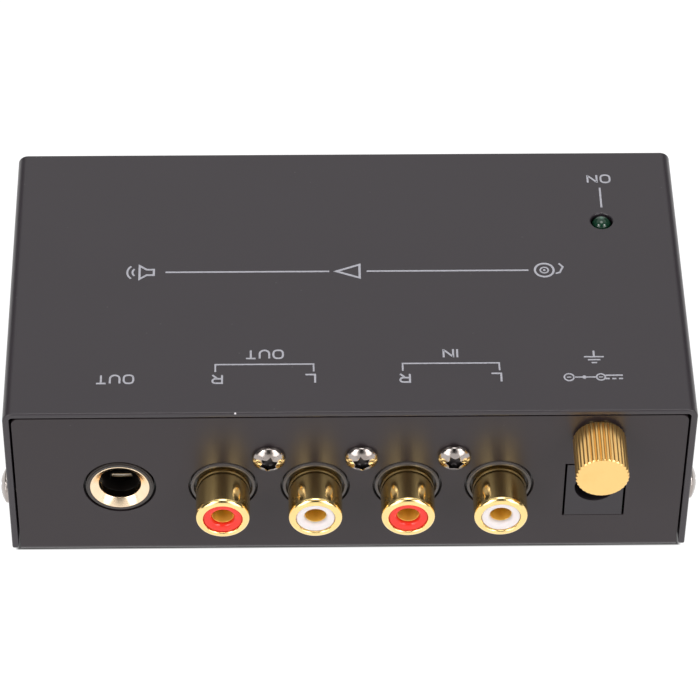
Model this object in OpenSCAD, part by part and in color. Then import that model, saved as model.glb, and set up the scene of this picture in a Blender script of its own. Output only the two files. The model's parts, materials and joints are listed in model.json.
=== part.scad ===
// Small phono preamp: a folded steel case with every connector on one panel.
// X runs along the connector panel, the connectors face -Y, Z is up.
// The origin is the middle of the whole object's box, on the surface it stands on.

/* [Case] */
// Depth of the cover from rim to rim
case_d = 57; // [55:1:70]
// Room from the case's side to the large jack's body
jack_side_room = 9.14; // [8.5:0.02:14]
// Gap between the large jack's body and the socket block
jack_block_gap = 0.79; // [0.3:0.01:6]
// Gap between the socket block and the power inlet's body
block_inlet_gap = 3.27; // [1:0.01:8]
// Room from the power inlet's body to the case's other side
inlet_side_room = 10.2; // [9.4:0.1:14]
// Gap between the power inlet's body and the ground terminal's flange
inlet_ground_gap = 2.3; // [1:0.1:5]
// Gap between the ground terminal's flange and the cover
top_room = 0.9; // [0.5:0.1:8]
// Thickness of the steel sheet
sheet_t = 1; // [0.8:0.1:1.2]
// Outer radius of the cover's two folds
cover_fold_r = 1.6; // [1.3:0.1:3]
// Outer radius of the tray's two folds
tray_fold_r = 1.4; // [1.3:0.1:3]
// Radius of the panels' top corners
panel_corner_r = 1.2; // [0.5:0.1:3]
// Height of the cover's side edges above the tray's underside
cover_lift = 1; // [0:0.1:2]
// Gap between the cover and the tray
seam_gap = 0.3; // [0.1:0.05:0.5]
// How far the panels sit behind the rims
panel_setback = 0.2; // [0:0.05:1]
// Length of the screw tabs behind the panels
tab_l = 8; // [7:0.5:12]
// Height of the screw tabs
tab_h = 10; // [7:0.5:14]
// Height of the tab screws above the underside
tab_screw_z = 10.8; // [8:0.1:14]
// Distance of the tab screws from the rims
tab_screw_y = 4.3; // [4:0.1:6]

/* [Feet] */
// Radius of a stick-on foot
foot_r = 4; // [3:0.5:5]
// Thickness of a foot
foot_t = 1; // [0.8:0.1:3]
// Distance of a foot's axis from the case's sides
foot_inset = 9; // [7:0.5:14]

/* [Screws] */
// Head radius of a cover screw
cover_head_r = 2.7; // [2.4:0.1:3]
// Head height of a cover screw
cover_head_h = 1.4; // [1.2:0.1:2]
// Shank radius of a cover screw
cover_shank_r = 1.45; // [1.2:0.05:1.6]
// Shank length of a cover screw
cover_shank_l = 5.5; // [4:0.5:7]
// Head radius of a connector screw
panel_head_r = 2.5; // [2.2:0.1:2.8]
// Head height of a connector screw
panel_head_h = 1.75; // [1.4:0.05:2.2]
// Shank radius of a connector screw
panel_shank_r = 1.25; // [1:0.05:1.4]
// Shank length of a connector screw
panel_shank_l = 7.5; // [5:0.5:8]
// Head radius of a board screw
board_head_r = 2.2; // [1.8:0.1:2.4]
// Head height of a board screw
board_head_h = 1.4; // [1.2:0.1:2]
// Shank radius of a board screw
board_shank_r = 1.2; // [1:0.05:1.25]
// Straight side of a screw head below its dome
head_side_h = 0.55; // [0.4:0.05:0.8]
// Outer radius of the star recess
recess_r = 1.38; // [1:0.02:1.5]
// Depth of the star recess
recess_depth = 0.95; // [0.6:0.05:1]

/* [Phono sockets] */
// Distance between neighbouring sockets
socket_pitch = 14; // [13.5:0.1:14.2]
// Height of the sockets and the large jack above the board
socket_rise = 7.1; // [6.8:0.1:9]
// Outer radius of a shell
shell_r = 4.1; // [4:0.05:4.2]
// Wall of a shell
shell_wall = 0.55; // [0.4:0.05:0.7]
// Reach of a shell in front of the panel
shell_reach = 7; // [6:0.1:9]
// Depth of a shell behind the panel face
shell_depth = 9.6; // [9:0.1:10]
// Inner radius of the rolled lip
lip_bore_r = 2.95; // [2.8:0.05:3.1]
// Length of the lip
lip_l = 1.1; // [0.9:0.1:1.4]
// Rounding of the lip's outer edge
lip_round_r = 0.65; // [0.3:0.05:0.8]
// Radius of the contact's bore
contact_bore_r = 1.62; // [1.6:0.01:1.64]
// Wall of the contact tube
contact_wall = 0.35; // [0.3:0.05:0.45]
// Depth of the funnel in an insert
funnel_depth = 1.1; // [0.8:0.1:1.4]
// Radius of a plastic nose in the panel
nose_r = 4.9; // [4.8:0.05:5]
// Depth of the socket block behind the panel face
block_depth = 10.6; // [10.2:0.1:12]
// Height of the socket block's front plate above the board
block_h = 16.4; // [16:0.1:18]
// Block beyond the outer sockets' axes
block_end = 7; // [6.5:0.1:7]
// Height of the connector screws above the socket axes
panel_screw_rise = 6.3; // [6.2:0.1:7]

/* [Large jack] */
// Bore for the 6.35 mm plug
jack_bore_r = 3.2; // [3.19:0.01:3.22]
// Outer radius of the metal mouth ring
mouth_r = 4.52; // [4.3:0.02:4.6]
// Depth of the mouth's flare
flare_depth = 0.85; // [0.6:0.05:1.1]
// Length of the mouth ring
mouth_l = 2.1; // [1.8:0.1:2.6]
// Radius of the jack's plastic nose
jack_nose_r = 5.15; // [5.1:0.05:5.4]
// Width of the jack's body
jack_w = 15.8; // [15:0.1:15.9]
// Height of the jack's body
jack_h = 16.4; // [15:0.1:18]
// Depth of the jack's body behind the panel face
jack_depth = 30; // [29:0.5:34]
// Depth where the spring chamber starts
chamber_start = 12; // [11:0.5:13]

/* [Power inlet] */
// Width of the inlet's body
inlet_w = 8.8; // [8.6:0.1:9.2]
// Height of the inlet's body
inlet_h = 11.2; // [10.6:0.1:11.6]
// Depth of the inlet's body behind the panel face
inlet_depth = 14; // [13.5:0.1:15]
// Height of the plug bore above the board
inlet_bore_rise = 6.3; // [5.8:0.05:6.6]
// Radius of the plug bore
inlet_bore_r = 3.1; // [3:0.05:3.2]
// Depth of the plug bore
inlet_bore_depth = 9.6; // [9:0.1:9.8]
// Radius of the centre pin
centre_pin_r = 1.05; // [1:0.05:1.25]
// How far the centre pin's tip sits behind the face
centre_pin_setback = 1.2; // [1:0.1:2]
// Clearance of the inlet in its opening
inlet_gap = 0.34; // [0.2:0.02:0.4]

/* [Ground terminal] */
// Radius of the knurled head
knob_r = 4; // [3.5:0.1:4.5]
// Length of the knurled head
knob_l = 8; // [6:0.1:10]
// Number of ridges round the head
ridge_count = 32; // [24:2:34]
// Height of a ridge
ridge_h = 0.24; // [0.15:0.01:0.3]
// Chamfer at the ends of the head
knob_chamfer = 0.2; // [0.1:0.05:0.4]
// Radius of the threaded shank
shank_r = 1.5; // [1.4:0.05:1.6]
// Depth of the shank's end behind the panel face
shank_depth = 7; // [6.5:0.1:8]
// Radius of the captive washer
washer_r = 3.4; // [3:0.1:3.6]
// Thickness of the captive washer
washer_t = 0.35; // [0.3:0.05:0.6]
// Radius of the bush in the panel
bush_r = 2.4; // [2.3:0.05:2.6]
// Radius of the bush's flange
bush_flange_r = 4; // [3.6:0.1:4]
// Thickness of the bush's flange
bush_flange_t = 0.9; // [0.7:0.1:1.2]
// Depth of the bush's end behind the panel face
bush_depth = 6; // [5.7:0.1:6.3]
// Width of the nut across its flats
nut_af = 6.6; // [6.2:0.1:7]
// Thickness of the nut
nut_t = 2; // [1.6:0.1:2.2]
// Thickness of the solder lug
lug_t = 0.5; // [0.4:0.05:0.6]
// Distance from the terminal's axis to the lug's wire hole
lug_reach = 7; // [6.6:0.1:7.3]

/* [Lamp] */
// Distance of the lamp from the case's side
lamp_from_side = 11.9; // [10:0.1:13]
// Distance of the lamp from the far rim
lamp_from_rear = 15.9; // [13:0.1:17]
// Radius of the lamp's dome
lamp_r = 1.5; // [1.4:0.05:1.6]
// Height of the lamp from its flange to its tip
lamp_l = 5; // [4:0.1:7]
// Height of the dome above the cover
lamp_proud = 0.45; // [0.2:0.05:1.2]
// Radius of the lamp's flange
lamp_flange_r = 1.9; // [1.75:0.05:2.1]
// Outer radius of the spacer under the lamp
spacer_r = 2.3; // [2.1:0.1:2.6]

/* [Circuit board] */
// Gap between the board's ends and the screw tabs
board_side_gap = 1.4; // [1:0.1:3]
// Gap between the board's rear edge and the rear panel
board_rear_gap = 5.2; // [3:0.1:7]
// Thickness of the board
board_t = 1.6; // [1.2:0.2:1.6]
// Gap under the board
board_lift = 5; // [4.4:0.1:5.4]
// Gap between the board and the connector panel
board_gap = 0.4; // [0.3:0.1:0.8]
// Radius of a board post
post_r = 2.5; // [2.3:0.1:2.8]
// Gap between the large jack's body and the board screws beside it
post_jack_gap = 0.54; // [0.2:0.02:1]
// Depth of the front posts behind the panel face
post_front = 8.3; // [8.2:0.1:9]
// Distance of the rear posts from the board's rear edge
post_rear_inset = 4.4; // [3:0.1:6]
// Thickness of the insulating sheet
film_t = 0.2; // [0.1:0.05:0.3]
// Length of a lead below the board
lead_stub = 1.1; // [0.8:0.1:1.3]

/* [Components] */
// Length of an amplifier chip
chip_l = 9.4; // [9:0.1:9.8]
// Width of an amplifier chip
chip_w = 6.4; // [6:0.1:6.6]
// Height of an amplifier chip
chip_h = 3.3; // [3:0.1:3.6]
// Distance between chip legs
chip_pitch = 2.54; // [2.5:0.01:2.56]
// Distance between the rows of chip legs
chip_row = 7.62; // [7.5:0.01:7.7]
// Radius of the supply capacitor
supply_cap_r = 5; // [4:0.5:5]
// Height of the supply capacitor
supply_cap_h = 12; // [10:0.5:16]
// Radius of a coupling capacitor
coupling_cap_r = 2.5; // [2:0.25:3]
// Height of a coupling capacitor
coupling_cap_h = 7; // [5:0.5:12]
// Length of a film capacitor
film_cap_l = 7.2; // [6.5:0.1:7.5]
// Width of a film capacitor
film_cap_w = 3; // [2.5:0.1:3.5]
// Height of a film capacitor
film_cap_h = 6.5; // [5:0.5:9]
// Body length of a resistor
resistor_l = 6.2; // [5.8:0.1:6.6]
// Body radius of a resistor
resistor_r = 1.15; // [1:0.05:1.3]
// Distance between a resistor's legs
axial_pitch = 10.16; // [9.6:0.02:10.4]
// Body length of the diode
diode_l = 5.2; // [4.5:0.1:5.6]
// Body radius of the diode
diode_r = 1.35; // [1.2:0.05:1.5]
// Body radius of the regulator
regulator_r = 2.4; // [2.2:0.1:2.5]
// Height of the regulator's body
regulator_h = 4.8; // [4.4:0.1:5]
// Radius of a component lead
lead_r = 0.3; // [0.25:0.05:0.35]
// Distance between neighbouring resistors
resistor_spacing = 13; // [12.6:0.1:14]
// Distance between neighbouring film capacitors
film_cap_spacing = 12.4; // [9:0.1:13]
// Distance between the two amplifier chips
chip_spacing = 26; // [14:0.5:30]

/* [Fits] */
// Clearance of a piece seated in another
seat_gap = 0.03; // [0.02:0.01:0.06]
// Running clearance of a turning or threaded shank
running_gap = 0.05; // [0.03:0.01:0.09]
// Clearance of a screw in a plain hole
screw_gap = 0.25; // [0.15:0.05:0.35]
// Clearance of a nose in its panel hole
nose_gap = 0.38; // [0.2:0.02:0.4]
// Clearance of a lead in its hole
lead_gap = 0.15; // [0.1:0.05:0.2]
// Gap between moving faces that rest on each other
rest_gap = 0.05; // [0.03:0.01:0.1]

/* [Hidden] */
$fn = 96;
cut = 1; // how far a cutting tool runs past a face
leaf_t = 0.3; // thickness of a contact spring
tail_w = 1.4; // width of a flat solder tail
tail_t = 0.4; // thickness of a flat solder tail
tail_hole_r = 0.95; // board hole for a flat tail
lug_hole_r = 0.6; // wire hole in the solder lug
wire_core_r = 0.4; // bare end of the ground wire
wire_r = 0.75; // ground wire with its insulation
wire_bend_r = 1.6; // bend at the top of the ground wire
nose_proud = 0.15; // how far the sockets' noses stand out of the panel
neck_step = 0.25; // a shell is this much slimmer behind the panel
insert_setback = 0.3; // an insert's face behind its shell's rim
contact_setback = 0.6; // a contact's front behind the floor of the funnel
lamp_gap = 0.2; // gap round the lamp in the cover

// The whole object's box decides where the case stands along Y.
knob_start = washer_t + 2 * rest_gap;
knob_face = knob_start + knob_l;
front_reach = knob_face - panel_setback;
rim_y = front_reach - (case_d + front_reach) / 2;
panel_y = rim_y + panel_setback;
rear_y = rim_y + case_d;
rear_panel_y = rear_y - panel_setback;
inner_panel_y = panel_y + sheet_t;

// Levels, from the surface that the feet stand on up to the cover
underside = foot_t;
cover_low = underside + cover_lift;
floor_top = underside + sheet_t;
board_bottom = floor_top + board_lift;
board_top = board_bottom + board_t;
stub_z = board_bottom - lead_stub;
socket_axis_z = board_top + socket_rise;
panel_screw_z = socket_axis_z + panel_screw_rise;
inlet_axis_z = board_top + inlet_bore_rise;
ground_axis_z = board_top + inlet_h + inlet_ground_gap + bush_flange_r;
panel_top = ground_axis_z + bush_flange_r + top_room - seam_gap;
cover_top = panel_top + seam_gap + sheet_t;
case_h = cover_top - underside;
cover_h = cover_top - cover_low;

// The connectors stand side by side, and the case is as wide as they need.
socket_count = 4;
block_w = (socket_count - 1) * socket_pitch + 2 * block_end;
case_w = jack_side_room + jack_w + jack_block_gap + block_w + block_inlet_gap + inlet_w + inlet_side_room;
panel_w = case_w - 2 * (sheet_t + seam_gap);
jack_x = jack_side_room + jack_w / 2 - case_w / 2;
block_x0 = jack_x + jack_w / 2 + jack_block_gap;
block_x1 = block_x0 + block_w;
inlet_x = case_w / 2 - inlet_side_room - inlet_w / 2;
socket_xs = [for (i = [0:socket_count - 1]) block_x0 + block_end + i * socket_pitch];
panel_screw_xs = [for (i = [0:socket_count - 2]) (socket_xs[i] + socket_xs[i + 1]) / 2];
tab_hole_r = cover_shank_r + running_gap;

// Board, posts and lamp
board_w = panel_w - 2 * (sheet_t + board_side_gap);
board_y0 = inner_panel_y + board_gap;
board_y1 = rear_panel_y - sheet_t - board_rear_gap;
post_x = case_w / 2 - jack_side_room + post_jack_gap + board_head_r;
post_foot_r = post_r - 0.5;
post_points = [for (sx = [-1, 1], y = [panel_y + post_front, board_y1 - post_rear_inset]) [sx * post_x, y]];
lamp_x = case_w / 2 - lamp_from_side;
lamp_y = rear_y - lamp_from_rear;

// Component rows, one behind the other from the block's rear face, with the same gap between rows
row_gap = 1.4;
contact_tail_room = 2.6; // behind the block, for the contacts' tails
row_a = panel_y + block_depth + contact_tail_room + regulator_r;
row_b = row_a + regulator_r + row_gap + chip_row / 2;
row_c = row_b + chip_row / 2 + row_gap * 2 + coupling_cap_r;
row_d = row_c + coupling_cap_r + row_gap * 1.5 + film_cap_w / 2;
row_e = row_d + film_cap_w / 2 + row_gap * 1.5 + resistor_r;
chip_xs = [for (s = [-1, 1]) s * chip_spacing / 2];
chip_stand = 0.5;
chip_leg_count = 4;
coupling_cap_xs = [for (x = chip_xs, s = [-1, 1]) x + s * (coupling_cap_r + row_gap)];
film_cap_xs = [for (i = [0:5]) (i - 2.5) * film_cap_spacing];
resistor_places = concat([for (i = [-1:1]) [i * resistor_spacing, row_a]],
    [for (i = [0:4]) [(i - 2) * resistor_spacing - resistor_l, row_e]]);
supply_cap_point = [inlet_x - inlet_w / 4, panel_y + inlet_depth + 3 * diode_r + row_gap + supply_cap_r];
diode_point = [inlet_x - inlet_w / 4, panel_y + inlet_depth + 1.5 * diode_r];
regulator_point = [resistor_spacing + axial_pitch / 2 + row_gap * 3 + regulator_r, row_a];
cap_lead_pitch = 2.5;
film_lead_pitch = 5;
lamp_lead_pitch = 2.54;
regulator_leg_pitch = 1.27;
regulator_stand = 2;

function pair_at(p, pitch) = [for (s = [-1, 1]) [p[0] + s * pitch / 2, p[1]]];
function flat(lists) = [for (l = lists) each l];
chip_leg_points = [for (x = chip_xs, i = [0:chip_leg_count - 1], s = [-1, 1])
    [x + (i - (chip_leg_count - 1) / 2) * chip_pitch, row_b + s * chip_row / 2]];
electrolytic_lead_points = flat(concat([for (x = coupling_cap_xs) pair_at([x, row_c], cap_lead_pitch)],
    [pair_at(supply_cap_point, 2 * cap_lead_pitch)]));
film_lead_points = flat([for (x = film_cap_xs) pair_at([x, row_d], film_lead_pitch)]);
resistor_lead_points = flat([for (p = resistor_places) pair_at(p, axial_pitch)]);
diode_lead_points = pair_at(diode_point, axial_pitch);
lamp_lead_points = pair_at([lamp_x, lamp_y], lamp_lead_pitch);
regulator_leg_points = [for (i = [-1:1]) [regulator_point[0] + i * regulator_leg_pitch, regulator_point[1]]];
round_lead_points = concat(chip_leg_points, electrolytic_lead_points, film_lead_points, resistor_lead_points,
    diode_lead_points, lamp_lead_points, regulator_leg_points);

// A contact's front end lies behind the floor of its insert's funnel.
contact_front = shell_reach - insert_setback - funnel_depth - contact_setback;

// Flat tails of the connectors
shell_tail_depth = shell_depth - 0.8;
contact_tail_depth = block_depth + 0.5;
sleeve_depth = 5.3; // where the jack's sleeve contact lies
jack_tail_out = 5.8;
jack_tail_front = 15;
jack_tail_back = 27;
jack_tail_xs = [-jack_tail_out, jack_tail_out];
jack_tail_depths = [jack_tail_front, jack_tail_back];
inlet_tail_depth = inlet_depth - 1.2;
inlet_side_tail_depth = 7;
inlet_side_tail_drop = inlet_bore_r + 0.7; // top of the side tail below the bore's axis
flat_tail_points = concat(
    [for (x = socket_xs, d = [shell_tail_depth, contact_tail_depth]) [x, panel_y + d]],
    [for (x = jack_tail_xs, d = jack_tail_depths) [jack_x + x, panel_y + d]],
    [[jack_x, panel_y + sleeve_depth], [inlet_x, panel_y + inlet_tail_depth],
     [inlet_x + inlet_w / 4, panel_y + inlet_side_tail_depth]]);
bush_tail_r = bush_r - 0.2;
wire_point = [inlet_x + lug_reach, panel_y + sheet_t + bush_flange_t + seat_gap + lug_t / 2];

// ---------- helpers ----------

// Local z points out of the connector panel from its outer face; local y is up.
module at_panel(x, z) {
    translate([x, panel_y, z]) rotate([90, 0, 0]) children();
}

module tube(r_out, r_in, z0, z1) {
    translate([0, 0, z0]) difference() {
        cylinder(r = r_out, h = z1 - z0);
        translate([0, 0, -cut]) cylinder(r = r_in, h = z1 - z0 + 2 * cut);
    }
}

module rod(r, z0, z1) {
    translate([0, 0, z0]) cylinder(r = r, h = z1 - z0);
}

// A block given by its lowest and highest corners
module block(a, b) {
    translate(a) cube(b - a);
}

// Rectangle on the ground line with its two top corners rounded
module round_top(w, h, r) {
    translate([-w / 2, 0]) square([w, h - r]);
    translate([-w / 2 + r, 0]) square([w - 2 * r, h]);
    for (s = [-1, 1]) translate([s * (w / 2 - r), h - r]) circle(r = r);
}

// Six-pointed star outline of a driver recess
module star(r) {
    inner = r * 0.7;
    polygon([for (i = [0:11]) let (q = i % 2 == 0 ? r : inner) [q * cos(i * 30), q * sin(i * 30)]]);
}

// Pan-head screw whose head stands on z = 0
module pan_screw(head_r, head_h, shank_radius, shank_length) {
    rise = head_h - head_side_h;
    dome_r = (head_r * head_r + rise * rise) / (2 * rise);
    difference() {
        union() {
            rotate_extrude() intersection() {
                square([head_r, head_h]);
                translate([0, head_h - dome_r]) circle(r = dome_r, $fn = 360);
            }
            rod(shank_radius, -shank_length, head_h - recess_depth);
        }
        translate([0, 0, head_h - recess_depth]) linear_extrude(recess_depth + cut) star(recess_r);
    }
}

// Flat solder tail from z1 down through the board
module flat_tail(p, z1, w = tail_w, t = tail_t) {
    block([p[0] - w / 2, p[1] - t / 2, stub_z], [p[0] + w / 2, p[1] + t / 2, z1]);
}

// Radial component with a rounded top and a rolled groove near its foot
module radial_can(p, r, h) {
    edge = r * 0.12;
    translate([p[0], p[1], board_top]) rotate_extrude() difference() {
        union() {
            square([r, h - edge]);
            square([r - edge, h]);
            translate([r - edge, h - edge]) circle(r = edge);
        }
        translate([r + edge / 2, h * 0.15]) circle(r = edge);
    }
}

// Dumbbell body of an axial component lying along X
module axial_body(p, l, r, waist) {
    translate([p[0], p[1], board_top + r]) rotate([0, 90, 0]) {
        rod(waist, -l / 2, l / 2);
        for (s = [-1, 1]) translate([0, 0, s * (l / 2 - r * 0.8)]) rod(r, -r * 0.8, r * 0.8);
    }
}

// The two legs of an axial component, each bent down once
module axial_leads(p, l, r, pitch) {
    bend = 2 * lead_r;
    for (s = [-1, 1]) translate([p[0] + s * pitch / 2, p[1], board_top + r]) {
        rod(lead_r, stub_z - board_top - r, -bend);
        translate([-s * bend, 0, -bend]) rotate([90, 0, 0]) rotate([0, 0, s > 0 ? 0 : 90])
            rotate_extrude(angle = 90) translate([bend, 0]) circle(r = lead_r, $fn = 24);
        translate([-s * bend, 0, 0]) rotate([0, -s * 90, 0]) rod(lead_r, 0, pitch / 2 - bend - l / 2);
    }
}

// ---------- case ----------

module cover_screw_places() {
    for (sx = [-1, 1], y = [rim_y + tab_screw_y, rear_y - tab_screw_y])
        translate([sx * case_w / 2, y, underside + tab_screw_z]) rotate([0, sx * 90, 0]) children();
}

module top_cover() {
    color("#504c50") difference() {
        translate([0, rear_y, cover_low]) rotate([90, 0, 0]) linear_extrude(case_d) difference() {
            round_top(case_w, cover_h, cover_fold_r);
            translate([0, -cut])
                round_top(case_w - 2 * sheet_t, cover_h - sheet_t + cut, cover_fold_r - sheet_t);
        }
        translate([lamp_x, lamp_y, 0]) rod(lamp_r + lamp_gap, cover_top - sheet_t - cut, cover_top + cut);
        cover_screw_places() rod(cover_shank_r + screw_gap, -sheet_t - cut, cut);
    }
}

// Side view of the tray: floor, two panels and the folds between them
module tray_outline(inset, r) {
    translate([(panel_y + rear_panel_y) / 2, underside + inset]) rotate([180, 0, 0]) translate([0, -case_h])
        round_top(rear_panel_y - panel_y - 2 * inset, case_h, r);
}

module screw_tabs() {
    for (sx = [-1, 1], end = [[inner_panel_y - cut / 2, tab_l], [rear_panel_y - sheet_t + cut / 2, -tab_l]])
        let (x = sx * (panel_w - sheet_t) / 2, y0 = min(end[0], end[0] + end[1]), z = underside + tab_screw_z)
            block([x - sheet_t / 2, y0, z - tab_h / 2], [x + sheet_t / 2, y0 + tab_l, z + tab_h / 2]);
}

module panel_holes() {
    at_panel(jack_x, socket_axis_z) rod(jack_nose_r + nose_gap, -sheet_t - cut, cut);
    for (x = socket_xs) at_panel(x, socket_axis_z) rod(nose_r + nose_gap, -sheet_t - cut, cut);
    for (x = panel_screw_xs) at_panel(x, panel_screw_z) rod(panel_shank_r + screw_gap, -sheet_t - cut, cut);
    at_panel(inlet_x, ground_axis_z) rod(bush_r + seat_gap, -sheet_t - cut, cut);
    block([inlet_x - inlet_w / 2 - inlet_gap, panel_y - cut, board_top - seat_gap],
        [inlet_x + inlet_w / 2 + inlet_gap, inner_panel_y + cut, board_top + inlet_h + inlet_gap]);
}

module chassis_tray() {
    color("#484446") difference() {
        union() {
            intersection() {
                translate([-panel_w / 2, 0, 0]) rotate([90, 0, 90]) linear_extrude(panel_w) difference() {
                    tray_outline(0, tray_fold_r);
                    tray_outline(sheet_t, tray_fold_r - sheet_t);
                }
                translate([0, rear_y, underside]) rotate([90, 0, 0]) linear_extrude(case_d)
                    round_top(panel_w, panel_top - underside, panel_corner_r);
            }
            screw_tabs();
        }
        panel_holes();
        cover_screw_places() rod(tab_hole_r, -2 * sheet_t - seam_gap - cut, 0);
        for (p = post_points) translate([p[0], p[1], 0]) rod(post_foot_r + seat_gap, 0, floor_top + cut);
    }
}

module cover_screws() {
    color("#b9ada2") cover_screw_places()
        pan_screw(cover_head_r, cover_head_h, cover_shank_r, cover_shank_l);
}

module rubber_feet() {
    color("#26262a") for (sx = [-1, 1], y = [rim_y + foot_inset, rear_y - foot_inset])
        translate([sx * (case_w / 2 - foot_inset), y, 0]) rotate_extrude() {
            square([foot_r - 0.2, foot_t]);
            translate([0, 0.2]) square([foot_r, foot_t - 0.2]);
        }
}

// ---------- phono sockets ----------

module connector_screws() {
    color("#b9ada2") for (x = panel_screw_xs) at_panel(x, panel_screw_z)
        pan_screw(panel_head_r, panel_head_h, panel_shank_r, panel_shank_l);
}

module socket_block() {
    plate_t = 2.4;
    barrel_r = 6.2;
    foot_w = 9;
    screw_boss_r = 2.7;
    bore_r = shell_r - neck_step + seat_gap;
    nose_edge = 0.15;
    ring_gap = 0.38;
    axis_rise = socket_axis_z - board_top;
    color("#5a5656") difference() {
        union() {
            block([block_x0, inner_panel_y, board_top],
                [block_x1, inner_panel_y + plate_t, board_top + block_h]);
            for (x = socket_xs) at_panel(x, socket_axis_z) {
                rod(barrel_r, -block_depth, -sheet_t);
                block([-foot_w / 2, -axis_rise, -block_depth], [foot_w / 2, 0, -sheet_t]);
                rod(nose_r - nose_edge, -sheet_t - cut, nose_proud);
                rod(nose_r, -sheet_t - cut, nose_proud - nose_edge);
            }
            for (x = panel_screw_xs) at_panel(x, panel_screw_z)
                rod(screw_boss_r, -panel_shank_l - cut, -sheet_t);
        }
        for (x = socket_xs) at_panel(x, socket_axis_z) {
            rod(bore_r, -block_depth - cut, cut);
            rod(shell_r + ring_gap, -0.8, cut);
            block([-tail_w / 2 - seat_gap, -axis_rise - cut, -shell_tail_depth - tail_t / 2 - seat_gap],
                [tail_w / 2 + seat_gap, -shell_r / 2, -shell_tail_depth + tail_t / 2 + seat_gap]);
        }
        for (x = panel_screw_xs) at_panel(x, panel_screw_z)
            rod(panel_shank_r + running_gap, -panel_shank_l - 0.5, cut);
    }
}

module socket_shell(i) {
    inner_r = shell_r - shell_wall;
    neck_end = nose_proud + seat_gap;
    straight_end = shell_reach - lip_round_r;
    bevel = 0.25;
    color("#c9a24a") {
        at_panel(socket_xs[i], socket_axis_z) rotate_extrude() difference() {
            union() {
                translate([0, -shell_depth]) square([shell_r - neck_step, shell_depth + neck_end]);
                translate([0, neck_end]) square([shell_r, straight_end - neck_end]);
                square([shell_r - lip_round_r, shell_reach]);
                translate([shell_r - lip_round_r, straight_end]) circle(r = lip_round_r);
            }
            translate([0, -shell_depth - cut]) square([inner_r, shell_depth + shell_reach + cut - lip_l]);
            square([lip_bore_r, shell_reach + cut]);
            polygon([[0, shell_reach - bevel - lip_bore_r], [lip_bore_r + bevel, shell_reach],
                [lip_bore_r + bevel, shell_reach + cut], [0, shell_reach + cut]]);
        }
        flat_tail([socket_xs[i], panel_y + shell_tail_depth],
            socket_axis_z - inner_r - (shell_wall - neck_step) / 2);
    }
}

module socket_insert(i) {
    body_r = shell_r - shell_wall - seat_gap;
    disc_r = lip_bore_r - seat_gap;
    face = shell_reach - insert_setback;
    shoulder = shell_reach - lip_l - seat_gap;
    back = -shell_depth + 1.2;
    hole_r = contact_bore_r + seat_gap;
    seat_r = contact_bore_r + contact_wall + seat_gap;
    rim = 0.25;
    funnel_r = disc_r - rim - hole_r;
    color(i % 2 == 0 ? "#e23a30" : "#f2ece8")
        at_panel(socket_xs[i], socket_axis_z) rotate_extrude() difference() {
            union() {
                translate([0, back]) square([body_r, shoulder - back]);
                square([disc_r, face]);
            }
            translate([0, -shell_depth]) square([hole_r, shell_depth + face + cut]);
            translate([0, -shell_depth]) square([seat_r, shell_depth + contact_front]);
            translate([hole_r, face]) polygon(concat([[-cut, cut], [funnel_r, cut]],
                [for (a = [0:7.5:90]) [funnel_r * cos(a), -funnel_depth * sin(a)]], [[-cut, -funnel_depth]]));
        }
}

module socket_contact(i) {
    outer_r = contact_bore_r + contact_wall;
    bottom = -shell_depth + 1.6;
    end_wall = 0.6;
    stem_r = 0.7;
    color("#d0a446") {
        at_panel(socket_xs[i], socket_axis_z) {
            difference() {
                rod(outer_r, bottom, contact_front - seat_gap);
                rod(contact_bore_r, bottom + end_wall, contact_front + cut);
            }
            rod(stem_r, -contact_tail_depth, bottom + end_wall / 2);
        }
        flat_tail([socket_xs[i], panel_y + contact_tail_depth], socket_axis_z + stem_r);
    }
}

// ---------- large jack ----------

spring_w = 3.4;
hinge_r = 0.5;
hinge_rise = 4.4; // of both leaves' roots from the bore's axis
hinge_lead = 0.35; // of a root in front of the chamber
tip_touch_rise = 1.9;
tip_touch_depth = 13;
ring_touch_drop = 2.5;
ring_touch_depth = 7.5;
leaf_end_rise = 1.1; // of a leaf's free end from its touch point
leaf_end_l = 2;
tip_hinge = [hinge_rise, -chamber_start + hinge_lead]; // up from the axis, along the panel's normal
ring_hinge = [-hinge_rise, -chamber_start + hinge_lead];
tip_touch = [tip_touch_rise, -chamber_start - tip_touch_depth];
ring_touch = [-ring_touch_drop, -chamber_start - ring_touch_depth];
leaf_end = [leaf_end_rise, -leaf_end_l];
terminal_rise = 2.4; // of a terminal's upper end over the board
chamber_top = 5.8;
chamber_low = 6.2;
chamber_end_wall = 2;
sleeve_l = 2.2; // length of the sleeve contact along the jack

// Bent contact leaf: root, straight run, rounded touch point and free end
module jack_leaf(root, touch, end) {
    points = [root, touch, end];
    rotate([0, 90, 0]) translate([0, 0, -spring_w / 2]) {
        linear_extrude(spring_w) {
            for (i = [0, 1]) let (a = points[i], d = points[i + 1] - a)
                translate([-a[1], a[0]]) rotate(atan2(d[0], -d[1])) translate([0, -leaf_t / 2])
                    square([norm(d), leaf_t]);
            translate([-touch[1], touch[0]]) circle(r = leaf_t, $fn = 48);
        }
        translate([-root[1], root[0], 0]) cylinder(r = hinge_r, h = spring_w);
    }
}

module jack_hinge_seat(root) {
    rotate([0, 90, 0]) translate([-root[1], root[0], -spring_w / 2 - running_gap * 2])
        cylinder(r = hinge_r + running_gap, h = spring_w + running_gap * 4);
    block([-spring_w / 2 - 0.1, root[0] - 0.4, -chamber_start - cut],
        [spring_w / 2 + 0.1, root[0] + 0.4, root[1]]);
}

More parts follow.
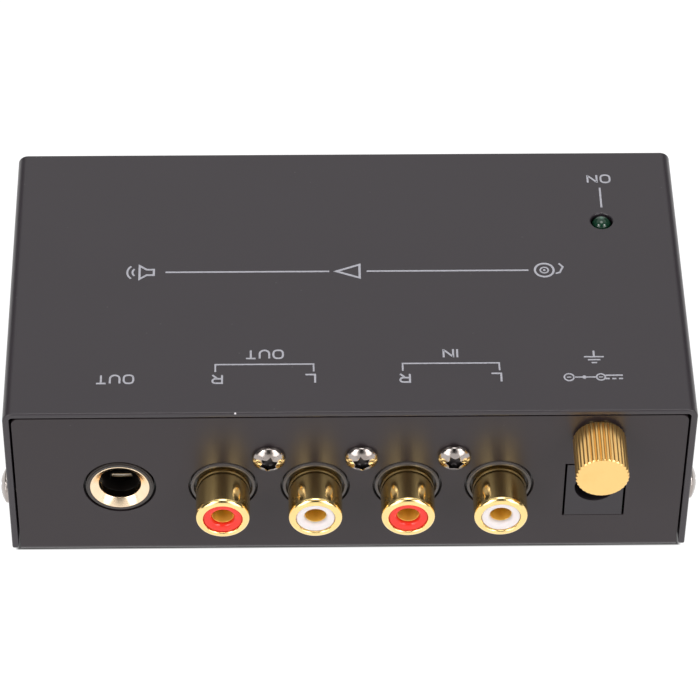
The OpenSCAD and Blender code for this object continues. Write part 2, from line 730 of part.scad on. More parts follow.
module jack_body() {
    nose_edge = 0.2;
    axis_rise = socket_axis_z - board_top;
    chamber_w = 8.6;
    tail_slot_h = 2.5;
    color("#3a3839") at_panel(jack_x, socket_axis_z) difference() {
        union() {
            block([-jack_w / 2, -axis_rise, -jack_depth], [jack_w / 2, jack_h - axis_rise, -sheet_t]);
            rod(jack_nose_r, -sheet_t - cut, nose_proud - nose_edge);
            rod(jack_nose_r - nose_edge, -sheet_t - cut, nose_proud);
        }
        rod(mouth_r + seat_gap, -mouth_l - seat_gap, cut);
        rod(jack_bore_r, -chamber_start - cut, cut);
        block([-chamber_w / 2, -chamber_low, -jack_depth + chamber_end_wall],
            [chamber_w / 2, chamber_top, -chamber_start]);
        jack_hinge_seat(tip_hinge);
        jack_hinge_seat(ring_hinge);
        block([-spring_w / 2 - seat_gap, -axis_rise - cut, -sleeve_depth - sleeve_l / 2 - seat_gap],
            [spring_w / 2 + seat_gap, -jack_bore_r / 2, -sleeve_depth + sleeve_l / 2 + seat_gap]);
        for (x = jack_tail_xs, d = jack_tail_depths)
            block([x - tail_w / 2 - seat_gap, -axis_rise - cut, -d - tail_t / 2 - seat_gap],
                [x + tail_w / 2 + seat_gap, -axis_rise + tail_slot_h, -d + tail_t / 2 + seat_gap]);
    }
}

module jack_mouth_ring() {
    proud = 0.12;
    rim = 0.1;
    color("#d8b35c") at_panel(jack_x, socket_axis_z) rotate_extrude() polygon([
        [jack_bore_r, -mouth_l], [mouth_r, -mouth_l], [mouth_r, proud], [mouth_r - rim, proud],
        [jack_bore_r, proud - flare_depth]]);
}

module jack_tip_spring() {
    color("#c8c4bc") at_panel(jack_x, socket_axis_z) jack_leaf(tip_hinge, tip_touch, tip_touch + leaf_end);
}

module jack_ring_spring() {
    color("#c8c4bc") at_panel(jack_x, socket_axis_z)
        jack_leaf(ring_hinge, ring_touch, ring_touch + [-leaf_end[0], leaf_end[1]]);
}

module jack_sleeve_contact() {
    top = -jack_bore_r - running_gap;
    color("#d8cfae") {
        at_panel(jack_x, socket_axis_z)
            block([-spring_w / 2, top - leaf_t, -sleeve_depth - sleeve_l / 2],
                [spring_w / 2, top, -sleeve_depth + sleeve_l / 2]);
        flat_tail([jack_x, panel_y + sleeve_depth], socket_axis_z + top - leaf_t / 2);
    }
}

module jack_terminals() {
    color("#c8c4bc") for (x = jack_tail_xs, d = jack_tail_depths)
        flat_tail([jack_x + x, panel_y + d], board_top + terminal_rise);
}

// ---------- power inlet ----------

inlet_hinge_out = 3.5;
inlet_hinge_back = 0.5; // of the root behind the bore's floor
inlet_hinge = [-inlet_hinge_out, -inlet_bore_depth - inlet_hinge_back]; // across, along the panel's normal
inlet_hinge_r = 0.4;
inlet_leaf_w = 2.6;
inlet_leaf_front = -1.6;
leaf_side_gap = 0.1;
pin_root_r = centre_pin_r + 0.2;
pin_flange_r = centre_pin_r + 0.55;
pin_flange_t = 0.8;

module inlet_body() {
    slot_out = 4;
    front_gap = 0.05;
    bottom = -inlet_bore_rise;
    half_w = inlet_leaf_w / 2 + leaf_side_gap;
    back_step = [2.6, 3];
    color("#3c3a3b") at_panel(inlet_x, inlet_axis_z) difference() {
        block([-inlet_w / 2, bottom, -inlet_depth], [inlet_w / 2, inlet_h + bottom, -front_gap]);
        rod(inlet_bore_r, -inlet_bore_depth, cut);
        rod(pin_root_r + seat_gap, -inlet_tail_depth, 0);
        rod(pin_flange_r + seat_gap, -inlet_tail_depth - pin_flange_t, -inlet_tail_depth + pin_flange_t);
        block([-tail_w / 2 - seat_gap, bottom - cut, -inlet_tail_depth - pin_flange_t],
            [tail_w / 2 + seat_gap, 0, -inlet_tail_depth + pin_flange_t]);
        block([-slot_out, -half_w, inlet_hinge[1]], [-inlet_bore_r * 0.7, half_w, inlet_leaf_front + 0.5]);
        translate([inlet_hinge[0], 0, inlet_hinge[1]]) rotate([90, 0, 0])
            rod(inlet_hinge_r + running_gap, -half_w, half_w);
        translate([inlet_w / 4, 0, -inlet_side_tail_depth])
            block([-tail_w / 2 - seat_gap, bottom - cut, -tail_t / 2 - seat_gap],
                [tail_w / 2 + seat_gap, seat_gap - inlet_side_tail_drop, tail_t / 2 + seat_gap]);
        block([-inlet_w / 2 - cut, inlet_h + bottom - back_step[1], -inlet_depth - cut],
            [inlet_w / 2 + cut, inlet_h, -inlet_depth + back_step[0]]);
    }
}

module inlet_centre_pin() {
    tip = -centre_pin_setback - centre_pin_r;
    color("#cfd0d2") {
        at_panel(inlet_x, inlet_axis_z) {
            rod(centre_pin_r, -inlet_bore_depth, tip);
            translate([0, 0, tip]) sphere(r = centre_pin_r);
            rod(pin_root_r, -inlet_tail_depth, -inlet_bore_depth);
            rod(pin_flange_r, -inlet_tail_depth - pin_flange_t / 2, -inlet_tail_depth + pin_flange_t / 2);
        }
        flat_tail([inlet_x, panel_y + inlet_tail_depth], inlet_axis_z);
    }
}

module inlet_contact_spring() {
    touch = [-inlet_bore_r + 0.45, -5];
    leaf_x = inlet_hinge[0];
    color("#dcdcdc") at_panel(inlet_x, inlet_axis_z) {
        rotate([90, 0, 0]) translate([0, 0, -inlet_leaf_w / 2]) {
            linear_extrude(inlet_leaf_w) {
                for (run = [[inlet_hinge, touch], [touch, [leaf_x + 0.15, inlet_leaf_front]]])
                    let (d = run[1] - run[0])
                        translate(run[0]) rotate(atan2(d[1], d[0])) translate([0, -leaf_t / 2])
                            square([norm(d), leaf_t]);
                translate(touch) circle(r = leaf_t / 2, $fn = 48);
            }
            translate(inlet_hinge) cylinder(r = inlet_hinge_r, h = inlet_leaf_w);
        }
    }
}

module inlet_terminals() {
    color("#c8c4bc") flat_tail([inlet_x + inlet_w / 4, panel_y + inlet_side_tail_depth],
        inlet_axis_z - inlet_side_tail_drop);
}

// ---------- ground terminal ----------

// Rounded ridges side by side, with a narrow groove between each two
module knurled_outline(r) {
    ridge_r = 0.92 * PI * (r - ridge_h) / ridge_count;
    circle(r = r - ridge_h);
    for (i = [0:ridge_count - 1]) rotate(i * 360 / ridge_count) translate([r - ridge_r, 0])
        circle(r = ridge_r, $fn = 32);
}

module ground_knob() {
    inner = knob_r - knob_chamfer;
    color("#d9a441") at_panel(inlet_x, ground_axis_z) {
        intersection() {
            translate([0, 0, knob_start]) linear_extrude(knob_l) knurled_outline(knob_r);
            rotate_extrude() polygon([
                [0, knob_start], [inner, knob_start], [knob_r, knob_start + knob_chamfer],
                [knob_r, knob_face - knob_chamfer], [inner, knob_face], [0, knob_face]]);
        }
        rod(shank_r, -shank_depth, knob_start + cut);
    }
}

module ground_washer() {
    color("#c79b45") at_panel(inlet_x, ground_axis_z)
        tube(washer_r, shank_r + running_gap, rest_gap, rest_gap + washer_t);
}

module ground_bush() {
    color("#c79b45") at_panel(inlet_x, ground_axis_z) difference() {
        union() {
            rod(bush_r, -sheet_t - bush_flange_t, 0);
            rod(bush_flange_r, -sheet_t - bush_flange_t, -sheet_t);
            rod(bush_tail_r, -bush_depth, -sheet_t);
        }
        rod(shank_r + running_gap, -bush_depth - cut, cut);
    }
}

module ground_nut() {
    back = sheet_t + bush_flange_t + lug_t + 2 * seat_gap;
    color("#cfc9bd") at_panel(inlet_x, ground_axis_z) difference() {
        translate([0, 0, -back - nut_t]) cylinder(r = nut_af / sqrt(3), h = nut_t, $fn = 6);
        rod(bush_tail_r + running_gap, -back - nut_t - cut, cut);
    }
}

module ground_lug() {
    back = sheet_t + bush_flange_t + seat_gap;
    tag_w = 3;
    color("#cfc9bd") at_panel(inlet_x, ground_axis_z) difference() {
        translate([0, 0, -back - lug_t]) linear_extrude(lug_t) {
            circle(r = bush_tail_r + 1.2);
            translate([0, -tag_w / 2]) square([lug_reach, tag_w]);
            translate([lug_reach, 0]) circle(r = tag_w / 2);
        }
        rod(bush_tail_r + running_gap, -back - lug_t - cut, cut);
        translate([lug_reach, 0, 0]) rod(lug_hole_r, -back - lug_t - cut, cut);
    }
}

// Insulated wire: hooked through the lug's hole, then straight down into the board
module ground_wire() {
    strip = 0.6;
    hook_l = 0.8;
    color("#2f7d3d") {
        translate([wire_point[0], wire_point[1] + wire_bend_r, 0]) {
            rod(wire_r, board_top + strip, ground_axis_z - wire_bend_r - strip);
            rod(wire_core_r, stub_z, ground_axis_z - wire_bend_r);
        }
        translate([wire_point[0], wire_point[1], ground_axis_z]) rotate([90, 0, 0]) {
            rod(wire_core_r, 0, hook_l);
            translate([0, -wire_bend_r, 0]) rotate([-90, 0, 90]) rotate_extrude(angle = 90)
                translate([wire_bend_r, 0]) circle(r = wire_core_r, $fn = 32);
        }
    }
}

// ---------- lamp ----------

lamp_tip = cover_top + lamp_proud;
lamp_foot = lamp_tip - lamp_l;
lamp_flange_t = 0.8;

module power_lamp() {
    color("#1f5a34") translate([lamp_x, lamp_y, 0]) {
        rod(lamp_r, lamp_foot, lamp_tip - lamp_r);
        translate([0, 0, lamp_tip - lamp_r]) sphere(r = lamp_r);
        rod(lamp_flange_r, lamp_foot, lamp_foot + lamp_flange_t);
    }
}

module lamp_leads() {
    color("#c8c4bc") for (p = lamp_lead_points) translate([p[0], p[1], 0]) rod(lead_r, stub_z, lamp_foot);
}

module lamp_spacer() {
    color("#dcd8cf") translate([lamp_x, lamp_y, 0])
        tube(spacer_r, lamp_lead_pitch / 2 + lead_r + lead_gap, board_top, lamp_foot);
}

// ---------- board ----------

module circuit_board() {
    color("#2e6b3a") difference() {
        block([-board_w / 2, board_y0, board_bottom], [board_w / 2, board_y1, board_top]);
        for (p = round_lead_points) translate([p[0], p[1], 0])
            rod(lead_r + lead_gap, board_bottom - cut, board_top + cut);
        for (p = flat_tail_points) translate([p[0], p[1], 0])
            rod(tail_hole_r, board_bottom - cut, board_top + cut);
        for (p = post_points) translate([p[0], p[1], 0])
            rod(board_shank_r + screw_gap, board_bottom - cut, board_top + cut);
        translate([wire_point[0], wire_point[1] + wire_bend_r, 0])
            rod(wire_core_r + lead_gap, board_bottom - cut, board_top + cut);
    }
}

module board_posts() {
    color("#b8b8ba") for (p = post_points) translate([p[0], p[1], 0]) {
        difference() {
            union() {
                rod(post_r, floor_top, board_bottom);
                rod(post_foot_r, underside, floor_top);
            }
            rod(board_shank_r + running_gap, underside + 0.4, board_bottom + cut);
        }
    }
}

module board_screws() {
    color("#b8b8ba") for (p = post_points) translate([p[0], p[1], board_top])
        pan_screw(board_head_r, board_head_h, board_shank_r, board_t + board_lift);
}

module insulating_sheet() {
    margin = 3;
    color("#d9c9a0") difference() {
        block([-board_w / 2 + margin, board_y0 + margin, floor_top],
            [board_w / 2 - margin, board_y1 - margin, floor_top + film_t]);
        for (p = post_points) translate([p[0], p[1], 0])
            rod(post_r + screw_gap, floor_top - cut, floor_top + cut);
    }
}

// ---------- components ----------

module amplifier_chip(i) {
    notch_r = 0.8;
    notch_depth = 0.5;
    dot_r = 0.4;
    dot_inset = 1.2;
    dot_depth = 0.2;
    color("#2b2b2e") translate([chip_xs[i] - chip_l / 2, row_b, board_top + chip_stand]) difference() {
        translate([0, -chip_w / 2, 0]) cube([chip_l, chip_w, chip_h]);
        rod(notch_r, chip_h - notch_depth, chip_h + cut);
        translate([dot_inset, dot_inset - chip_w / 2, 0]) rod(dot_r, chip_h - dot_depth, chip_h + cut);
    }
}

module chip_legs() {
    leg_w = 0.46;
    leg_t = 0.26;
    shoulder_w = 1.2;
    shoulder_lift = 0.3;
    shoulder_h = chip_stand + chip_h / 2;
    reach = (chip_row + leg_t - chip_w) / 2 - seat_gap;
    color("#c8c4bc") for (p = chip_leg_points)
        translate([p[0], p[1], board_top]) mirror([0, p[1] > row_b ? 0 : 1, 0]) {
            block([-leg_w / 2, -leg_t / 2, stub_z - board_top], [leg_w / 2, leg_t / 2, shoulder_h]);
            block([-shoulder_w / 2, -leg_t / 2, shoulder_lift], [shoulder_w / 2, leg_t / 2, shoulder_h]);
            block([-shoulder_w / 2, leg_t / 2 - reach, shoulder_h - leg_t],
                [shoulder_w / 2, leg_t / 2, shoulder_h]);
        }
}

module supply_capacitor() {
    color("#23304f") radial_can(supply_cap_point, supply_cap_r, supply_cap_h);
}

module coupling_capacitors() {
    color("#1d2a4a") for (x = coupling_cap_xs) radial_can([x, row_c], coupling_cap_r, coupling_cap_h);
}

module film_capacitors() {
    color("#a8352c") for (x = film_cap_xs)
        block([x - film_cap_l / 2, row_d - film_cap_w / 2, board_top],
            [x + film_cap_l / 2, row_d + film_cap_w / 2, board_top + film_cap_h]);
}

module capacitor_leads() {
    color("#c8c4bc") for (p = concat(electrolytic_lead_points, film_lead_points)) translate([p[0], p[1], 0])
        rod(lead_r, stub_z, board_top);
}

module resistors() {
    color("#7fb0c8") for (p = resistor_places) axial_body(p, resistor_l, resistor_r, resistor_r * 0.85);
}

module resistor_leads() {
    color("#c8c4bc") for (p = resistor_places) axial_leads(p, resistor_l, resistor_r, axial_pitch);
}

module voltage_regulator() {
    flat_face = regulator_r * 0.55;
    z0 = board_top + regulator_stand;
    color("#232326") translate([regulator_point[0], regulator_point[1], 0]) difference() {
        rod(regulator_r, z0, z0 + regulator_h);
        block([-regulator_r - cut, -regulator_r - cut, z0 - cut],
            [regulator_r + cut, -flat_face, z0 + regulator_h + cut]);
    }
}

module regulator_legs() {
    color("#c8c4bc") for (p = regulator_leg_points) translate([p[0], p[1], 0])
        rod(lead_r, stub_z, board_top + regulator_stand);
}

module polarity_diode() {
    color("#2a2a2c") axial_body(diode_point, diode_l, diode_r, diode_r);
}

module diode_leads() {
    color("#c8c4bc") axial_leads(diode_point, diode_l, diode_r, axial_pitch);
}

top_cover();
chassis_tray();
cover_screws();
rubber_feet();
connector_screws();
socket_block();
socket_shell(0);  // output_right_shell
socket_shell(1);  // output_left_shell
socket_shell(2);  // input_right_shell
socket_shell(3);  // input_left_shell
socket_insert(0);  // output_right_insert
socket_insert(1);  // output_left_insert
socket_insert(2);  // input_right_insert
socket_insert(3);  // input_left_insert
socket_contact(0);  // output_right_contact
socket_contact(1);  // output_left_contact
socket_contact(2);  // input_right_contact
socket_contact(3);  // input_left_contact
jack_body();
jack_mouth_ring();
jack_tip_spring();
jack_ring_spring();
jack_sleeve_contact();
jack_terminals();
inlet_body();
inlet_centre_pin();
inlet_contact_spring();
inlet_terminals();
ground_knob();
ground_washer();
ground_bush();
ground_nut();
ground_lug();
ground_wire();
power_lamp();
lamp_leads();
lamp_spacer();
circuit_board();
board_posts();
board_screws();
insulating_sheet();
amplifier_chip(0);  // left_amplifier_chip
amplifier_chip(1);  // right_amplifier_chip
chip_legs();
supply_capacitor();
coupling_capacitors();
film_capacitors();
capacitor_leads();
resistors();
resistor_leads();
voltage_regulator();
regulator_legs();
polarity_diode();
diode_leads();
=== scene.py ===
"""Looks of a small phono preamp: a folded steel case with every connector on one panel.

Each sub-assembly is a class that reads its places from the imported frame, builds its meshes in
millimetres, rides them on their bodies and dresses them in procedural finishes.
"""

import json
import logging
from dataclasses import dataclass
from enum import Enum
from math import atan2, copysign, cos, hypot, pi, radians, sin, sqrt, tau
from typing import Any, Callable, Dict, Iterable, List, Mapping, Optional, Sequence, Tuple, Union

import bmesh
import bpy
from mathutils import Matrix, Vector


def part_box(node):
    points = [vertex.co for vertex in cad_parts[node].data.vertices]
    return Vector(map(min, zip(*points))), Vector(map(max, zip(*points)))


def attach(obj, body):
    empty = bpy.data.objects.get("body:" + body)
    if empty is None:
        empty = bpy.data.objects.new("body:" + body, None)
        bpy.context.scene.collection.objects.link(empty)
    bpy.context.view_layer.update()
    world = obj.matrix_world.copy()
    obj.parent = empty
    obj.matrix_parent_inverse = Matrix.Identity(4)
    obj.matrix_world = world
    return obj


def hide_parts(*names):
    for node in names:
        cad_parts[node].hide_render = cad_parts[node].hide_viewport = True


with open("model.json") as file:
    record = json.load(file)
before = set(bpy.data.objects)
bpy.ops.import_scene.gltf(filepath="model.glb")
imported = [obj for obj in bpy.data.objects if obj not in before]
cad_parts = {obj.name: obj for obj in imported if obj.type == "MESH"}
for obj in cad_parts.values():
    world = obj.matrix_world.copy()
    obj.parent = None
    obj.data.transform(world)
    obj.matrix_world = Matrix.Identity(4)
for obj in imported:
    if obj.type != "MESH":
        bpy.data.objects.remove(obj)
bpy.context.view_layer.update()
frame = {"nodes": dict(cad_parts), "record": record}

log = logging.getLogger("phono_preamp")

Color = Tuple[float, float, float]
Point2 = Tuple[float, float]
Shape = Union[Point2, Callable[[float], Point2]]
Slots = Union[int, Sequence[int]]

MM = 0.001
WELD = 2e-6  # metres
FLAT_ANGLE = 0.6  # degrees
EDGE_ANGLE = 32.0  # degrees
FINE_EDGE, CRISP_EDGE, SOFT_EDGE = 0.06, 0.08, 0.1
TAIL_W, TAIL_T = 1.4, 0.4  # every connector's solder tails
SHANK_R, BORE_GAP = 1.5, 0.05  # the ground screw in its bush and washer
SOCKETS = ("output_right", "output_left", "input_right", "input_left")


class Body(Enum):
    """The bodies of the frame that pieces ride on."""

    CHASSIS = "chassis"
    KNOB = "ground_knob"
    WASHER = "ground_washer"
    TIP_SPRING = "jack_tip_spring"
    RING_SPRING = "jack_ring_spring"
    INLET_SPRING = "inlet_contact_spring"


# ---------- places ----------


@dataclass(frozen=True)
class Place:
    """A local frame on the part: its origin and its two first axes, in millimetres."""

    origin: Vector
    across: Vector
    up: Vector

    @classmethod
    def on_panel(cls, x: float, y: float, z: float) -> "Place":
        """Local z points out of the connector panel, local y is up."""
        return cls(Vector((x, y, z)), Vector((1, 0, 0)), Vector((0, 0, 1)))

    @classmethod
    def on_side(cls, x: float, y: float, z: float) -> "Place":
        """Local z points out of the case's side at x, local y is up."""
        return cls(Vector((x, y, z)), Vector((0, copysign(1, x), 0)), Vector((0, 0, 1)))

    @classmethod
    def upright(cls, x: float, y: float, z: float) -> "Place":
        """Local z is up."""
        return cls(Vector((x, y, z)), Vector((1, 0, 0)), Vector((0, 1, 0)))

    @classmethod
    def along_x(cls, x: float, y: float, z: float) -> "Place":
        """Local z runs along X."""
        return cls(Vector((x, y, z)), Vector((0, 1, 0)), Vector((0, 0, 1)))

    def turned(self, angle: float) -> "Place":
        """The same place, turned round its local z."""
        side = self.across * cos(angle) + self.up * sin(angle)
        return Place(self.origin, side, self.up * cos(angle) - self.across * sin(angle))

    def at(self, x: float, y: float, z: float) -> Vector:
        """A local point in the part's frame."""
        return self.origin + self.across * x + self.up * y + self.across.cross(self.up) * z


@dataclass(frozen=True)
class Box:
    """A node's box in millimetres, with its measures as they are on the connector panel."""

    lo: Vector
    hi: Vector

    @classmethod
    def of(cls, node: str) -> "Box":
        """The box of a node."""
        low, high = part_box(node)
        return cls(low / MM, high / MM)

    @property
    def mid(self) -> Vector:
        """Its middle."""
        return (self.lo + self.hi) / 2

    @property
    def radius(self) -> float:
        """Half its width."""
        return (self.hi.x - self.lo.x) / 2

    @property
    def front(self) -> float:
        """Height of its front over the panel."""
        return PANEL_Y - self.lo.y

    @property
    def back(self) -> float:
        """Height of its back over the panel, negative where that lies behind."""
        return PANEL_Y - self.hi.y

    @property
    def axis(self) -> Place:
        """Its axis straight out of the panel."""
        return Place.on_panel(self.mid.x, PANEL_Y, self.mid.z)

    def corners(self, inset: float) -> List[Point2]:
        """The four corners of its plan, moved inwards."""
        ends = [(low + inset, high - inset) for low, high in zip(self.lo, self.hi)]
        return [(x, y) for x in ends[0] for y in ends[1]]


PANEL_Y = Box.of("chassis_tray").lo.y
COVER_TOP = Box.of("top_cover").hi.z
BOARD_TOP = Box.of("circuit_board").hi.z


def mount(name: str) -> Vector:
    """Where a mount of the record is, in millimetres."""
    return Vector(next(m["pos_m"] for m in frame["record"]["mounts"] if m["name"] == name)) / MM


# ---------- shader graph ----------


def forward(operation: str) -> Callable[["Wire", Any], "Wire"]:
    """A Math operator with the wire as its first value."""
    return lambda wire, other: wire.math(operation, other)


def reflected(operation: str) -> Callable[["Wire", float], "Wire"]:
    """A Math operator with a number as its first value and the wire as its second."""
    settings = {"operation": operation}
    return lambda wire, other: wire.graph.add("ShaderNodeMath", settings, {0: other, 1: wire})


@dataclass(frozen=True)
class Wire:
    """A socket of a shader graph that adds a Math node wherever it is used in arithmetic."""

    graph: "Graph"
    socket: Optional[bpy.types.NodeSocket]

    __add__, __radd__ = forward("ADD"), reflected("ADD")
    __sub__, __rsub__ = forward("SUBTRACT"), reflected("SUBTRACT")
    __mul__, __rmul__ = forward("MULTIPLY"), reflected("MULTIPLY")
    __truediv__, __rtruediv__ = forward("DIVIDE"), reflected("DIVIDE")
    __pow__, __rpow__ = forward("POWER"), reflected("POWER")
    __mod__, __rmod__ = forward("FLOORED_MODULO"), reflected("FLOORED_MODULO")

    def __abs__(self) -> "Wire":
        """Absolute value."""
        return self.math("ABSOLUTE")

    def math(self, operation: str, *others: Union["Wire", float]) -> "Wire":
        """Adds one Math node with this socket as its first value.

        Args:
            operation: The node's operation.
            others: The node's further values.

        Returns:
            The node's result.
        """
        inputs = dict(enumerate((self, *others)))
        return self.graph.add("ShaderNodeMath", {"operation": operation}, inputs)

    def over(self, low: float, high: float) -> "Wire":
        """Smooth step from 0 at low to 1 at high, or from 1 to 0 where low is the larger.

        Args:
            low: The value that gives 0.
            high: The value that gives 1.

        Returns:
            The step, from 0 to 1.
        """
        inputs = {"Value": self, "From Min": min(low, high), "From Max": max(low, high)}
        if low > high:
            inputs.update({"To Min": 1.0, "To Max": 0.0})
        return self.graph.add("ShaderNodeMapRange", {"interpolation_type": "SMOOTHSTEP"}, inputs)


class Graph:
    """One node tree in the making."""

    def __init__(self, tree: bpy.types.NodeTree) -> None:
        """Takes over a tree and empties it."""
        self.tree = tree
        tree.nodes.clear()

    def add(
        self, kind: str, settings: Mapping[str, Any], inputs: Mapping[Union[str, int], Any],
        output: Union[str, int] = 0,
    ) -> Wire:
        """Adds one node: its settings first, then the values or links of its sockets.

        Args:
            kind: The node's type.
            settings: The node's own properties.
            inputs: For each socket, by name or number, a wire to link or a value to set.
            output: The output to return, by name or number.

        Returns:
            A wire from that output.
        """
        node = self.tree.nodes.new(kind)
        for name, value in settings.items():
            setattr(node, name, value)
        for key, value in inputs.items():
            socket = node.inputs[key]
            if isinstance(value, Wire):
                self.tree.links.new(value.socket, socket)
            else:
                socket.default_value = (*value, 1.0) if socket.type == "RGBA" else value
        return Wire(self, node.outputs[output] if node.outputs else None)

    def vector(self, operation: str, *values: Any, output: Union[str, int] = 0, **named: Any) -> Wire:
        """Adds one Vector Math node.

        Args:
            operation: The node's operation.
            values: Its vectors, wires or triples.
            output: The output to return.
            named: Its sockets that are set by name, such as Scale.

        Returns:
            The node's result.
        """
        inputs = {**dict(enumerate(values)), **named}
        return self.add("ShaderNodeVectorMath", {"operation": operation}, inputs, output)

    def place(self) -> Wire:
        """The point on the part, in millimetres of the part's frame."""
        point = self.add("ShaderNodeTexCoord", {}, {}, "Object")
        return self.vector("SCALE", point, Scale=1 / MM)

    def axes(self, point: Wire) -> Tuple[Wire, Wire, Wire]:
        """The three coordinates of a vector."""
        split = self.add("ShaderNodeSeparateXYZ", {}, {0: point}).socket.node
        return tuple(Wire(self, output) for output in split.outputs)

    def mix(self, factor: Wire, first: Union[Wire, Color], second: Union[Wire, Color]) -> Wire:
        """Mixes two colours: a factor of 0 gives the first, 1 the second."""
        return self.add("ShaderNodeMix", {"data_type": "RGBA"}, {0: factor, 6: first, 7: second}, 2)

    def noise(self, point: Wire, size: float, detail: float = 2.0, rough: float = 0.5) -> Wire:
        """Fractal noise round 0.5.

        Args:
            point: Where it is read, in millimetres.
            size: The size of its largest features, in millimetres.
            detail: How many finer octaves it has.
            rough: How strong they are.

        Returns:
            The noise's value.
        """
        inputs = {"Vector": point, "Scale": 1 / size, "Detail": detail, "Roughness": rough}
        return self.add("ShaderNodeTexNoise", {}, inputs)

    def bump(self, height: Wire, depth: float) -> Wire:
        """A normal from a height between 0 and 1, where 1 stands for a depth in millimetres."""
        return self.add("ShaderNodeBump", {}, {"Height": height, "Distance": depth * MM})


# ---------- finishes ----------


def toned(color: Color, share: float, lift: float = 0.0) -> Color:
    """A colour with each channel multiplied and lifted, up to 1."""
    return tuple(min(1.0, share * part + lift) for part in color)


@dataclass(frozen=True)
class Finish:
    """A surface finish: the record's slot that it belongs to, its colour and its gloss."""

    slot: str
    color: Color
    roughness: float

    def material(self) -> bpy.types.Material:
        """Makes the finish's material, or finds it if an earlier piece has it.

        Returns:
            The material; its node tree ends in one shader.
        """
        name = f"{type(self).__name__}_{self.slot}_{self.label()}"
        known = bpy.data.materials.get(name)
        if known:
            return known
        made = bpy.data.materials.new(name)
        made.use_nodes = True
        made.diffuse_color = (*self.color, 1.0)
        graph = Graph(made.node_tree)
        point = graph.place()
        shader = graph.add("ShaderNodeBsdfPrincipled", {}, self.shade(graph, point))
        graph.add("ShaderNodeOutputMaterial", {}, {"Surface": shader})
        return made

    def label(self) -> str:
        """What tells two finishes of one slot apart."""
        return "".join(f"{round(part * 99):02d}" for part in self.color)

    def shade(self, graph: Graph, point: Wire) -> Dict[str, Any]:
        """The shader's inputs.

        Args:
            graph: The material's graph.
            point: The point on the part, in millimetres.

        Returns:
            For each input of the shader a value or a wire.
        """
        raise NotImplementedError


@dataclass(frozen=True)
class PowderCoat(Finish):
    """Satin powder coat: cloudy tone, fine grain, soft peel and a few dust grains in the film."""

    peel_depth: float = 0.011
    ior: float = 1.5
    chip: Optional[Tuple[float, float, float]] = None
    chip_r: float = 0.2
    chip_color: Color = (0.62, 0.60, 0.62)

    def shade(self, graph: Graph, point: Wire) -> Dict[str, Any]:
        """Shades the coat: cloud, grain and peel, with dust grains and any chip.

        Args:
            graph: The material's graph.
            point: The point on the part, in millimetres.

        Returns:
            The shader's inputs.
        """
        cloud = graph.noise(point, 17, 3)
        grain = graph.noise(point, 0.3, 3, 0.6)
        peel = graph.noise(point, 0.85, 2)
        dust = graph.add("ShaderNodeTexVoronoi", {}, {"Vector": point, "Scale": 0.45}, "Distance")
        speck = dust.over(0.075, 0.03) * graph.noise(point, 3.1, 1).over(0.56, 0.62)
        color = graph.mix(cloud * 0.6 + grain * 0.4, toned(self.color, 0.93), toned(self.color, 1.09))
        color = graph.mix(speck * 0.35, color, toned(self.color, 1, 0.09))
        if self.chip:
            away = graph.vector("DISTANCE", point, self.chip, output="Value") + grain * self.chip_r
            color = graph.mix(away.over(self.chip_r * 1.5, self.chip_r), color, self.chip_color)
        return {
            "Base Color": color,
            "Roughness": self.roughness + (grain - 0.5) * 0.09 + (cloud - 0.5) * 0.06,
            "Normal": graph.bump(peel * 0.7 + grain * 0.3 + speck * 0.5, self.peel_depth),
            "IOR": self.ior,
        }


@dataclass(frozen=True)
class Plating(Finish):
    """Plated metal: slight tarnish, fine handling scratches and the tool's faint marks."""

    tarnish: Color = (0.5, 0.3, 0.1)
    tarnish_share: float = 0.12
    mark_depth: float = 0.0012

    def shade(self, graph: Graph, point: Wire) -> Dict[str, Any]:
        """Shades the plate: tarnish, smears, scratches and tool marks.

        Args:
            graph: The material's graph.
            point: The point on the part, in millimetres.

        Returns:
            The shader's inputs.
        """
        cloud = graph.noise(point, 2.6, 3)
        smear = graph.noise(point, 0.7, 2)
        marks = graph.noise(point, 0.12, 2)
        scratches = graph.noise(graph.vector("MULTIPLY", point, (1.0, 0.09, 1.0)), 0.16, 1)
        rough = self.roughness + (cloud - 0.5) * 0.08 + (smear - 0.5) * 0.05
        stain = cloud.over(0.45, 0.8) * self.tarnish_share * 2
        return {
            "Base Color": graph.mix(stain, self.color, self.tarnish),
            "Metallic": 1.0,
            "Roughness": rough + scratches.over(0.6, 0.75) * 0.05,
            "Normal": graph.bump(marks * 0.7 + scratches * 0.3, self.mark_depth),
        }


@dataclass(frozen=True)
class TurnedFace(Plating):
    """Plated metal whose end face shows the lathe's rings round an axis that runs along Y."""

    axis_x: float = 0.0
    axis_z: float = 0.0
    ring_pitch: float = 0.11

    def label(self) -> str:
        """See Finish.label."""
        return f"{super().label()}_{round(self.axis_x)}"

    def shade(self, graph: Graph, point: Wire) -> Dict[str, Any]:
        """Shades the plate with the lathe's rings for its relief.

        Args:
            graph: The material's graph.
            point: The point on the part, in millimetres.

        Returns:
            The shader's inputs.
        """
        inputs = super().shade(graph, point)
        x, _, z = graph.axes(point)
        radius = ((x - self.axis_x) ** 2 + (z - self.axis_z) ** 2).math("SQRT")
        turns = radius / self.ring_pitch + graph.noise(point, 1.5, 1) * 0.3
        inputs["Normal"] = graph.bump((turns * tau).math("SINE") * 0.5 + 0.5, self.mark_depth)
        return inputs


